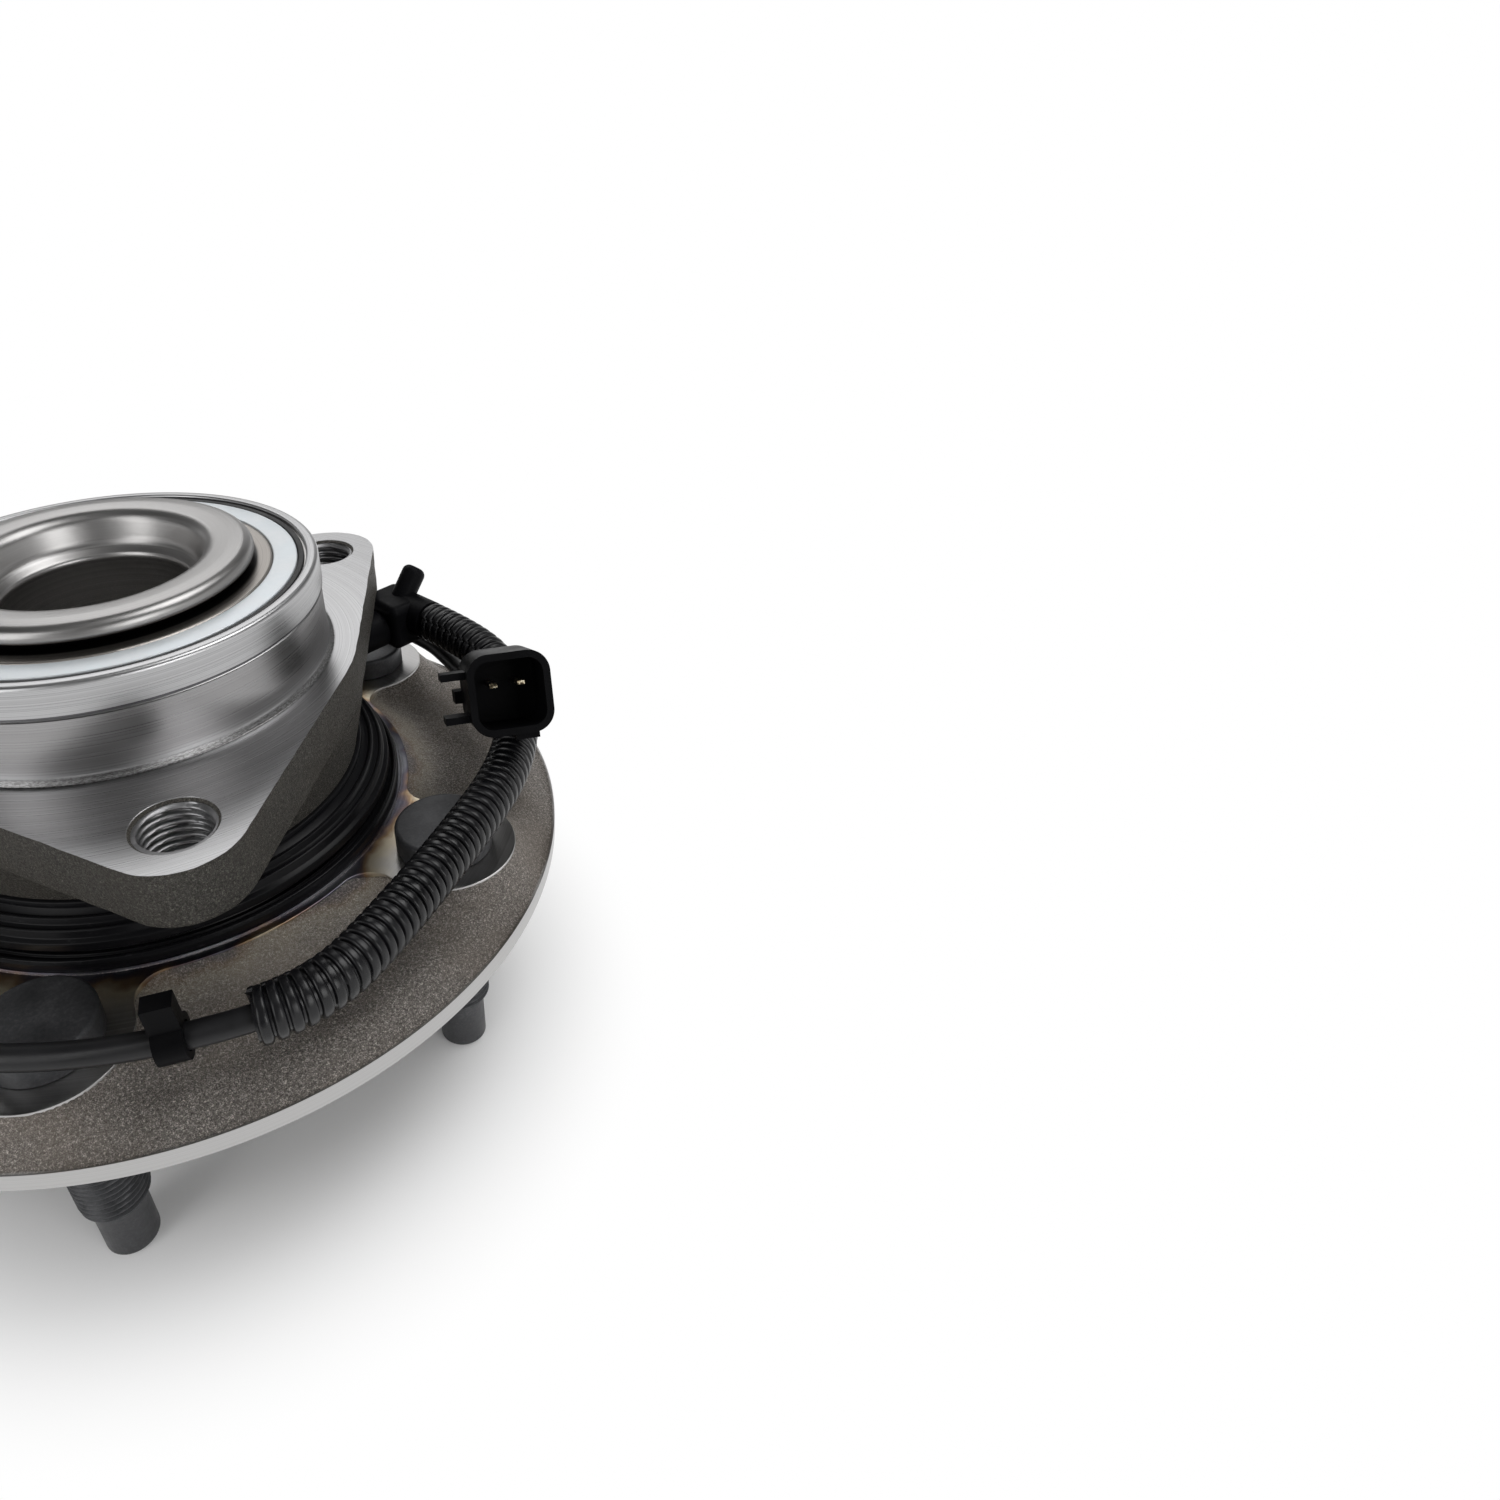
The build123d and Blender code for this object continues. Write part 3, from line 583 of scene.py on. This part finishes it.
def hub_steel(name, turned=None):
    """Forged flange with turned faces, and heat colours round the bearing.

    Without turned, the mesh says where it is turned and where its flange is.
    """
    shader = Shader(name, (0.5, 0.5, 0.5), metallic=1.0, roughness=0.3)
    forged, forged_roughness, grain = forging(shader, (0.205, 0.187, 0.170), 1.6)
    machined = turned or shader.attribute("turned")
    flange = turned or shader.attribute("flange")
    marks = shader.lines(shader.profile(), 2.2, 5.0, 0.70)
    tone = shader.ramp(marks, (0.30, (0.40, 0.395, 0.39)), (0.52, (0.47, 0.465, 0.46)),
                       (0.74, (0.56, 0.555, 0.55)))
    head = shader.between(shader.z, 105.0, 111.0, 0.0, 0.6)
    tone = shader.blend(head, tone, (0.27, 0.262, 0.258))
    # Painted shade: the spindle and the head's underside turn near black just below the formed
    # head's lip.
    shade_under_head = shader.math("MULTIPLY", shader.between(shader.z, 111.5, 112.5), shader.math(
        "MULTIPLY", shader.between(shader.radius, 24.5, 25.5),
        shader.between(shader.z, 115.9, 116.9, 1.0, 0.0)))
    tone = shader.blend(shade_under_head, tone, (0.035, 0.034, 0.035))
    wander = shader.between(shader.noise(0.075, 3.0, 0.55), 0.3, 0.7, -2.4, 2.4, smooth=False)
    reach = shader.math("ADD", shader.radius, wander)
    heat = shader.ramp(shader.between(reach, 52.0, 67.0, smooth=False),
                       (0.00, (0.17, 0.175, 0.19)), (0.16, (0.22, 0.225, 0.25)),
                       (0.26, (0.12, 0.115, 0.15)), (0.33, (0.18, 0.13, 0.13)),
                       (0.40, (0.40, 0.27, 0.16)), (0.50, (0.70, 0.62, 0.47)),
                       (1.00, (0.60, 0.59, 0.57)))
    heated = shader.math("MULTIPLY", flange, shader.between(reach, 59.0, 68.0, 1.0, 0.0))
    heated_tone = shader.blend(shader.between(machined, 0.0, 1.0, 0.22, 0.92), forged, heat)
    shader.set("Base Color", shader.blend(
        heated, shader.blend(machined, forged, tone), heated_tone))
    shader.set("Metallic", shader.between(machined, 0.0, 1.0, 0.55, 1.0))
    shader.set("Roughness", part_forged(shader, machined, shader.between(
        marks, 0.3, 0.7, 0.28, 0.38), forged_roughness))
    shader.bump((grain, shader.between(machined, 0.0, 1.0, 1.0, 0.03), 0.7),
                (marks, shader.between(machined, 0.0, 1.0, 0.0, 0.3), 0.03))
    shader.brushed_round(0.35)
    return shader.material


bright_steel = turned_steel("turned_steel")
polished_steel = turned_steel("formed_head_steel", (0.58, 0.57, 0.57), 0.17)
pressed_steel = turned_steel("pressed_steel", (0.50, 0.49, 0.48), 0.34)
thread_steel = turned_steel("thread_steel", (0.30, 0.30, 0.305), 0.36)
phosphate = phosphate_coat()
zinc = pale_zinc()
tin = tinned_blade()
black_coat = black_coating()
rubber = plastic("seal_rubber", (0.022, 0.022, 0.023), 0.50, 1.0, 0.02)
sensor_plastic = plastic("sensor_plastic", (0.005, 0.005, 0.006), 0.48, 0.9, 0.03, 0.06)
connector_plastic = plastic("connector_plastic", (0.003, 0.003, 0.0035), 0.42, 1.3, 0.012, 0.05)
jacket = plastic("cable_jacket", (0.010, 0.010, 0.011), 0.36, 0.8, 0.012, 0.3)
conduit_plastic = plastic("conduit_plastic", (0.004, 0.004, 0.005), 0.27, 1.1, 0.015, 0.4)
cage_plastic = plastic("cage_plastic", (0.10, 0.085, 0.06), 0.45)


# Hub ---------------------------------------------------------------------------------------

# The forged skin of the flange lies below skin_top by these depths
skin_line = 60.8             # height of the profile's points that the skin is made from
skin_top = 60.0
skin_start = 55.1            # radius of its inner edge
skin_depth = 1.5
skin_slope = 0.055
skirt_depth, skirt_reach = 0.9, 12.0
valley_depth, valley_place, valley_width = 0.9, 7.0, 4.5
rim_start, rim_depth, rim_width = 82.5, 3.6, 7.5
flange_foot = 47.5           # radius at which the neck of the hub meets the flange
flange_edge = 89.8

middle_radius = 57.0         # turned middle of the flange
corner_blend = 8.0           # softening between the middle and a pad


def pad_distance(place):
    """Distance outside the turned pads and the turned middle of the flange."""
    pad = min((place - stud).length for stud in stud_places) - pad_radius
    middle = place.length - middle_radius
    mixed = max(corner_blend - abs(pad - middle), 0.0) / corner_blend
    return max(0.0, min(pad, middle) - mixed ** 3 * corner_blend / 6)


def on_flange(radius, height):
    """Whether a profile point belongs to the upper side of the flange."""
    return abs(height - skin_line) < 0.01 and flange_foot - 0.1 < radius < flange_edge + 0.01


def flange_top(radius, height, angle):
    """Forged skin of the flange, which climbs with a soft skirt to its turned face."""
    if not on_flange(radius, height) or radius < skin_start:
        return radius, height
    place = Vector((cos(angle), sin(angle))) * radius
    outside = pad_distance(place)
    depth = skin_depth + skin_slope * (radius - 55.0)
    depth += skirt_depth * (1 - exp(-outside / skirt_reach))
    depth += valley_depth * exp(-((outside - valley_place) / valley_width) ** 2)
    if radius > rim_start:
        depth += rim_depth * ((radius - rim_start) / rim_width) ** 1.5
    uneven = noise.fractal(Vector((*place, 3.0)) * 0.15, 1.0, 2.0, 3) * 0.25
    uneven *= min(1.0, outside / 3) * min(1.0, (flange_edge - radius) / 3)
    return radius, skin_top - depth * (1 - exp(-outside / 2.0)) + uneven


def make_hub():
    """Hub with its formed head, forged flange skin, wheel pilot and recess."""
    head_seat = inner_top + fit
    head = [(bore_radius, 110.8, 1.6), (20.6, 112.6, 4.4), (22.4, 118.8, 3.4),
            (27.5, head_top, 9.0), (31.8, 118.8, 2.4), (31.8, 116.1, 1.2), (29.8, head_seat)]
    spindle = [(spindle_radius, head_seat), (spindle_radius, 73.48), (36.0, 73.48, 0.6),
               (36.0, 65.3, 2.5)]
    flange = [(flange_foot, skin_line), (flange_edge, skin_line),
              (hub_flange_radius, 52.6, 0.25), (hub_flange_radius, wheel_face, 0.6)]
    pilot = [(42.9, wheel_face, 0.3), (42.9, 49.2), (38.9, 49.2), (38.9, 36.2),
             (37.9, 34.2, 0.3)]
    recess = [(33.5, 34.2, 1.5), (31.0, 61.2, 6.0), (bore_radius, 64.2, 1.5)]
    points = finer(rounded(head + spindle + flange + pilot + recess, 8), 0.45, on_flange)
    steps = 540
    on_top, turned = [], []
    for point in points:
        in_recess = point.x < 34.0 and 36.0 < point.y < 66.0
        on_skin = on_flange(*point) and point.x > skin_start
        on_top += [float(on_flange(*point))] * steps
        turned += [float(not (in_recess or on_skin))] * steps
    hub = lathe("hub_forging", points, steps, shape=flange_top, angle=32,
                attributes={"turned": turned, "flange": on_top})
    add_piece(hub, hub_steel("hub_steel"), "hub", "hub")
    add_piece(make_face(), hub_steel("face_steel", 1.0), "hub", "hub")


def make_face():
    """Turned face of the flange: a ring and five stud pads joined by hollow corners."""
    hollow, hole_radius, bottom, edge = 6.0, 52.0, 57.0, 0.12
    ring, pad = middle_radius + hollow, pad_radius + hollow
    spread = degrees(acos((ring ** 2 + stud_circle ** 2 - pad ** 2) / (2 * ring * stud_circle)))
    centre = Vector((0, 0))
    outline = []
    for angle, stud in zip(stud_angles, stud_places):
        before, after = (toward(angle + side * spread) for side in (-1, 1))
        first, second = (stud + (corner * ring - stud).normalized() * pad_radius
                         for corner in (before, after))
        tip = toward(angle) * (stud_circle + pad_radius)
        outline += arc(before * ring, before * middle_radius, first, 30)
        outline += arc(stud, first, tip, 60) + arc(stud, tip, second, 60)
        outline += arc(after * ring, second, after * middle_radius, 30)
        outline += arc(centre, after * middle_radius,
                       toward(angle + 360 / stud_count - spread) * middle_radius, 60)
    hole = [toward(angle) * hole_radius for angle in range(360)]
    return plate("turned_face", [outline, hole], bottom, pad_top, edge)


# Threads and studs -------------------------------------------------------------------------

def screw_thread(height, angle):
    """0 at the root to 1 at the crest of a screw thread."""
    crest, flank = 1.25, 2.875
    part = (height / thread_pitch - angle / (2 * pi)) % 1.0
    return min(1.0, max(0.0, crest - flank * abs(part - 0.5)))


def make_studs():
    """Five press-in studs with their threads cut."""
    thread_line = 6.1        # radius of the profile's points that the thread is cut from
    thread_root = 6.12
    thread_start, start_fade, thread_end, end_fade = 13.9, 1.6, 45.8, 1.0
    collar_start, collar = 44.4, 0.5
    tip = [(4.4, 0.0), (4.9, 0.35), (5.4, 1.0), (5.4, 12.0)]
    shank = [(thread_line, height) for height in np.arange(14.2, 45.0, 0.17)]
    head = [(stud_radius, 45.6), (stud_radius, pad_top + fit, 0.3), (10.2, pad_top + fit, 0.4),
            (10.2, 65.8, 0.9), (1.0, 65.8)]
    points = [Vector(corner) for corner in tip + shank] + rounded(head, 5)

    def cut(radius, height, angle):
        if abs(radius - thread_line) > 0.01:
            return radius, height
        fade = max(0.0, min(1.0, (height - thread_start) / start_fade,
                            (thread_end - height) / end_fade))
        return (thread_root + thread_depth * screw_thread(height, angle) * fade
                + collar * (height > collar_start)), height

    studs = joined("wheel_stud_set", [
        lathe("stud", points, 44, shape=cut, centre=place, angle=40, open_ends=True)
        for place in stud_places])
    add_piece(studs, phosphate, "hub", "wheel_studs")


def make_threads():
    """Threaded sleeves that line the three knuckle holes."""
    thread_line, thread_root, sleeve_radius = 6.5, 6.99, 7.3
    heights = np.arange(83.55, 94.86, 0.16)
    points = [Vector((thread_line, height)) for height in heights]
    points += [Vector((sleeve_radius, heights[-1])), Vector((sleeve_radius, heights[0]))]

    def cut(radius, height, angle):
        if abs(radius - thread_line) > 0.01:
            return radius, height
        return thread_root - thread_depth * screw_thread(height, angle), height

    return joined("knuckle_hole_threads", [
        lathe("sleeve", points, 56, shape=cut, angle=50, centre=toward(angle) * lobe_circle)
        for angle in lobe_angles])


# Outer ring --------------------------------------------------------------------------------

def flange_outline():
    """Three lobes joined by straight flanks to the web round the barrel."""
    lean = degrees(acos((web_radius - lobe_radius) / lobe_circle))
    outline = []
    for angle in lobe_angles:
        hole = toward(angle) * lobe_circle
        first, second = (hole + toward(angle + side * lean) * lobe_radius for side in (-1, 1))
        tip = hole + toward(angle) * lobe_radius
        after = angle + 360 // lobes
        web = [toward(angle + lean) * web_radius, toward(after - lean) * web_radius]
        start = toward(after) * lobe_circle + toward(after - lean) * lobe_radius
        outline += arc(hole, first, tip, 24) + arc(hole, tip, second, 24)
        outline += [second.lerp(web[0], part / 24) for part in range(24)]
        outline += arc(Vector((0, 0)), web[0], web[1], 12)
        outline += [web[1].lerp(start, part / 24) for part in range(24)]
    return outline


def make_knuckle_flange():
    """Flange with forged flanks, a sharp turned top edge and three chamfered holes."""
    forged_edge = 1.2
    edge_start = knuckle_flange_bottom + forged_edge
    draft, lump_scale = 0.02, 0.22
    lump_depth, top_depth = 0.14, 0.10    # how far lumps and the top edge stay inside
    outline = flange_outline()
    mesh = bmesh.new()

    def loop(points, height):
        return [mesh.verts.new((point.x * MM, point.y * MM, height * MM)) for point in points]

    def wall(loops):
        for upper, lower in zip(loops, loops[1:]):
            for index in range(len(upper)):
                after = (index + 1) % len(upper)
                mesh.faces.new((upper[index], lower[index], lower[after], upper[after]))

    def cap(loops):
        edges = []
        for ring in loops:
            for ends in zip(ring, ring[1:] + ring[:1]):
                edges.append(mesh.edges.get(ends) or mesh.edges.new(ends))
        bmesh.ops.triangle_fill(mesh, use_beauty=True, edges=edges)

    outward = []
    for before, after in zip(outline[-1:] + outline[:-1], outline[1:] + outline[:1]):
        run = (after - before).normalized()
        outward.append(Vector((run.y, -run.x)))
    levels = [knuckle_face, 95.36, 95.2] + [95.2 - 0.7 * step for step in range(1, 16)]
    levels += [edge_start - forged_edge * sin(radians(turn)) for turn in (0, 22, 45, 68, 90)]
    sides = []
    for height in levels:
        inset = draft * (knuckle_face - height)
        inset += top_depth if height == knuckle_face else lump_depth
        if height < edge_start:
            inset += forged_edge - sqrt(max(0.0, forged_edge ** 2 - (edge_start - height) ** 2))
        ring = []
        for point, out in zip(outline, outward):
            lump = noise.fractal(Vector((*point, height)) * lump_scale, 1.0, 2.0, 3) * lump_depth
            ring.append(point + out * (lump - inset))
        sides.append(loop(ring, height))
    wall(sides)
    middle = [toward(angle) * flange_bore for angle in range(0, 360, 2)]
    centre = [loop(middle, height) for height in (knuckle_face, knuckle_flange_bottom)]
    wall(centre[::-1])
    holes = []
    for angle in lobe_angles:
        hole = toward(angle) * lobe_circle
        rings = [loop([hole + toward(turn) * radius for turn in range(0, 360, 6)], height)
                 for radius, height in ((7.55, knuckle_face), (knuckle_bolt_radius, 94.9),
                                        (knuckle_bolt_radius, 83.7), (7.3, knuckle_flange_bottom))]
        wall(rings[::-1])
        holes.append(rings)
    cap([sides[0], centre[0]] + [rings[0] for rings in holes])
    cap([sides[-1], centre[-1]] + [rings[-1] for rings in holes])
    bmesh.ops.recalc_face_normals(mesh, faces=mesh.faces)
    data = bpy.data.meshes.new("knuckle_flange")
    mesh.to_mesh(data)
    data.shade_smooth()
    data.set_sharp_from_angle(angle=radians(40))
    return show("knuckle_flange", data)


def make_outer_ring():
    """Outer ring: its turned pilot with barrel and raceways, its flange and its threads."""
    pilot = [(seal_bore_radius, ring_top, 0.6), (pilot_radius, ring_top, 0.95),
             (pilot_radius, 109.05), (43.85, 108.9, 0.1), (43.85, 108.55, 0.1), (44.1, 108.35),
             (43.72, 107.9), (43.72, 99.0), (43.9, 96.6, 2.0), (44.6, knuckle_face, 0.35),
             (flange_bore, knuckle_face)]
    barrel = [(flange_bore, 84.0), (49.3, 84.0), (49.05, 82.0, 1.6), (barrel_end_radius, 70.9),
              (barrel_end_radius, ring_bottom, 0.2), (seal_bore_radius, ring_bottom, 0.4)]
    raceways = [(seal_bore_radius, 79.4), (40.58, 79.7), (37.55, 91.92), (37.55, 96.08),
                (40.58, 108.3), (seal_bore_radius, 108.6)]
    steel = ring_steel()
    body = lathe("knuckle_pilot", rounded(pilot + barrel + raceways, 8), 720, angle=30)
    threads = make_threads()
    for piece, material in ((body, steel), (make_knuckle_flange(), steel),
                            (threads, thread_steel)):
        add_piece(piece, material, "outer", "outer_ring")


# Seal, shield and deflector ----------------------------------------------------------------

def make_seal():
    """Zinc ring and rubber edge of the inboard seal."""
    slinger = lathe("zinc_ring", rounded([
        (35.12, 109.5), (35.92, 109.5), (35.92, 113.7, 0.3), (39.95, 113.7), (39.95, 114.42, 0.2),
        (35.12, inner_top, 0.35)], 5), 540, angle=35)
    edge = lathe("seal_edge", rounded([
        (41.33, 110.3), (41.33, 114.42, 0.2), (40.15, 114.3, 0.3), (40.15, 112.6, 0.3),
        (40.7, 112.2, 0.4), (40.7, 111.1, 0.4), (39.15, 111.1), (37.95, 113.68), (37.15, 113.68),
        (37.55, 111.1), (35.94, 111.1), (35.94, 110.3)], 5), 540, angle=35)
    add_piece(slinger, zinc, "hub", "inboard_slinger")
    add_piece(edge, rubber, "outer", "inboard_seal_rubber")


def make_shields():
    """Pressed shield on the outer ring with its rolled ridges, and the hub's deflector."""
    shield = lathe("ridged_shield", rounded([
        (46.32, 70.88), (47.2, 70.88, 0.35), (47.3, 69.6, 0.3), (48.6, 68.5, 0.4),
        (49.1, 69.3, 0.3), (49.6, 69.2, 0.25), (50.0, 68.0, 0.4), (50.8, 67.7, 0.3),
        (51.2, 68.1, 0.25), (51.6, 67.8, 0.25), (51.9, 66.4, 0.4), (52.9, 65.9, 0.3),
        (53.0, 64.1, 0.2), (51.8, 64.1), (47.9, 67.5), (46.32, 67.5)], 5), 480, angle=40)
    ring = lathe("ridged_deflector", rounded([
        (48.5, 60.82), (54.7, 60.82), (54.7, 62.3, 0.2), (54.3, 63.02, 0.3), (53.7, 63.02, 0.25),
        (53.3, 61.9, 0.3), (52.2, 61.8, 0.2), (51.9, 62.3, 0.2), (51.5, 62.2, 0.15),
        (51.2, 61.8, 0.2), (50.6, 61.8), (50.2, 62.4, 0.2), (49.4, 62.4, 0.2),
        (48.5, 61.6)], 5), 480, angle=40)
    add_piece(shield, black_coat, "outer", "outboard_shield")
    add_piece(ring, black_coat, "hub", "deflector")


# Cord --------------------------------------------------------------------------------------

def frames_along(line, stop, step):
    """Places along a line up to a length, each with two directions across it that don't twist."""
    across = None
    for place, ahead in walk(line, stop, step):
        if across is None:
            across = Vector((0, 0, 1)).cross(ahead).normalized()
        across = (across - ahead * across.dot(ahead)).normalized()
        yield place, across, ahead.cross(across)


def length_at(line, target):
    """Length along a line at its nearest point to a target."""
    best = min(range(len(line)), key=lambda index: (line[index] - target).length)
    return sum((b - a).length for a, b in zip(line[:best], line[1:best + 1]))


def make_conduit():
    """Slit corrugated sleeve, whose ribs gain half a pitch round it and meet at the slit."""
    rib_rows, columns = 14, 56
    rib_half_width = 0.40    # as a share of the pitch
    slit_rib = 0.6           # share of its height that a rib keeps at the slit
    bore_step = 3.0
    line = read_line(cable_route)
    stop = length_at(line, conduit_end)
    frames = list(frames_along(line, stop + conduit_pitch * MM / 2,
                               conduit_pitch * MM / rib_rows))
    places, rows = [], len(frames) - rib_rows // 2 - 1
    for row in range(rows):
        across = abs(row % rib_rows / rib_rows - 0.5) / rib_half_width
        rib = conduit_rib * sqrt(max(0.0, 1 - across ** 4))
        for column in range(columns):
            turn = column / columns
            part, first = modf(row + rib_rows / 2 * (1 - turn))
            place, side, up = (before.lerp(after, part) for before, after in zip(
                frames[int(first)], frames[int(first) + 1]))
            reach = (conduit_groove + rib * (1.0 if column else slit_rib)) * MM
            angle = 2 * pi * turn + slit_angle
            places.append(place + (side * cos(angle) + up * sin(angle)) * reach)
    for place, side, up in reversed(list(frames_along(line, stop, bore_step * MM))):
        for column in range(columns):
            angle = 2 * pi * column / columns + slit_angle
            places.append(place + (side * cos(angle) + up * sin(angle)) * conduit_bore * MM)
        rows += 1
    conduit = add_mesh("corrugated_sleeve", places, ring_faces(rows, columns), angle=60)
    add_piece(conduit, conduit_plastic, "outer", "conduit")
    return conduit


def make_cable(conduit):
    """The sensor's cable along its route; the sleeve passed in is not used."""
    data = nurbs("sensor_cable", cable_route)
    data.splines[0].resolution_u = 12
    data.bevel_depth = cable_diameter / 2
    data.bevel_resolution, data.use_fill_caps = 8, True
    cable = show("sensor_cable", data)
    add_piece(cable, jacket, "outer", "cable")


# Finish of the CAD nodes -------------------------------------------------------------------

def dress():
    """Materials of the CAD nodes that stay, and small bevels on the plug and the clip."""
    finishes = {
        "inboard_inner_ring": rib_steel(), "outboard_inner_ring": bright_steel,
        "inboard_rollers": polished_steel, "outboard_rollers": polished_steel,
        "inboard_cage": cage_plastic, "outboard_cage": cage_plastic,
        "tone_ring": pressed_steel, "inboard_seal_case": pressed_steel,
        "outboard_seal_case": pressed_steel, "outboard_seal_lip": rubber,
        "sensor_body": sensor_plastic, "sensor_oring": rubber,
        "connector_shell": connector_plastic, "connector_terminals": tin,
        "connector_lock": connector_plastic, "connector_gland": rubber,
        "harness_clip": connector_plastic}
    for name, material in finishes.items():
        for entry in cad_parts[name].material_slots:
            entry.material = material
    for name in ("connector_shell", "harness_clip"):
        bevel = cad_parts[name].modifiers.new("edge", "BEVEL")
        bevel.width, bevel.segments, bevel.limit_method = 0.25 * MM, 2, "ANGLE"
        bevel.angle_limit = radians(40)
        bevel.harden_normals = True


# Studio ------------------------------------------------------------------------------------

def area_light(name, place, target, size, power, stretch=1.0):
    """Soft rectangular lamp that points at a target."""
    data = bpy.data.lights.new(name, "AREA")
    data.shape, data.size, data.size_y, data.energy = "RECTANGLE", size, size * stretch, power
    lamp = show(name, data)
    lamp.location = place
    lamp.rotation_mode = "QUATERNION"
    lamp.rotation_quaternion = (Vector(target) - Vector(place)).to_track_quat("-Z", "Y")


def make_world():
    """White to the camera; to the object a pale horizon, a dim ceiling and soft pale cards."""
    world = bpy.data.worlds.new("studio")
    bpy.context.scene.world = world
    world.use_nodes = True
    nodes, links = world.node_tree.nodes, world.node_tree.links

    def between(value, *limits):
        node = nodes.new("ShaderNodeMapRange")
        node.interpolation_type = "SMOOTHSTEP"
        links.new(value, node.inputs[0])
        for socket, limit in zip(node.inputs[1:5], limits):
            socket.default_value = limit
        return node.outputs[0]

    def math(operation, first, second):
        node = nodes.new("ShaderNodeMath")
        node.operation = operation
        links.new(first, node.inputs[0])
        links.new(second, node.inputs[1])
        return node.outputs[0]

    place = nodes.new("ShaderNodeTexCoord").outputs["Generated"]
    split = nodes.new("ShaderNodeSeparateXYZ")
    links.new(place, split.inputs[0])
    cards = nodes.new("ShaderNodeTexNoise")
    cards.inputs["Scale"].default_value = 2.2
    cards.inputs["Detail"].default_value = 1.0
    links.new(place, cards.inputs["Vector"])
    studio = math("MULTIPLY", between(split.outputs["Z"], 0.05, 0.50, 0.80, 0.13),
                  between(cards.outputs["Fac"], 0.40, 0.60, 0.30, 1.25))
    seen = nodes.new("ShaderNodeLightPath").outputs["Is Camera Ray"]
    background = nodes["Background"]
    background.inputs["Color"].default_value = (1, 1, 1, 1)
    links.new(math("MAXIMUM", seen, studio), background.inputs["Strength"])


def make_floor():
    """Pale floor that shows the shadow near the object, and looks white further out."""
    half = 3.0
    floor = show("floor", bpy.data.meshes.new("floor"))
    floor.data.from_pydata([(-half, -half, 0), (half, -half, 0), (half, half, 0),
                            (-half, half, 0)], [], [(0, 1, 2, 3)])
    shader = Shader("floor", (0.86, 0.86, 0.86), roughness=0.85)
    path = shader.add("ShaderNodeLightPath")
    seen = shader.math("MAXIMUM", path.outputs["Is Camera Ray"], path.outputs["Is Glossy Ray"])
    white = shader.math("MULTIPLY", shader.between(shader.radius, 60.0, 115.0), seen)
    mix = shader.add("ShaderNodeMixShader")
    for socket, value in zip(mix.inputs, (white, shader.surface.outputs[0],
                                          shader.add("ShaderNodeEmission").outputs[0])):
        shader.link(value, socket)
    shader.link(mix.outputs[0], shader.tree.nodes["Material Output"].inputs["Surface"])
    floor.data.materials.append(shader.material)


def make_lamps():
    """Four soft lamps; places and sizes in metres, powers in watts."""
    area_light("overhead", (0.42, -0.10, 0.85), (0, 0, 0.08), 0.50, 3.0)
    area_light("left", (-0.75, -0.35, 0.55), (0, 0, 0.08), 0.45, 2.5, stretch=1.6)
    area_light("front", (0.35, -0.95, 0.50), (0, 0, 0.06), 0.50, 2.5)
    area_light("back", (0.10, 0.85, 0.72), (0, 0, 0.09), 0.60, 1.9)


make_hub()
make_studs()
make_outer_ring()
make_seal()
make_shields()
make_cable(make_conduit())
dress()
make_world()
make_floor()
make_lamps()
bpy.context.scene.view_settings.view_transform = "Standard"
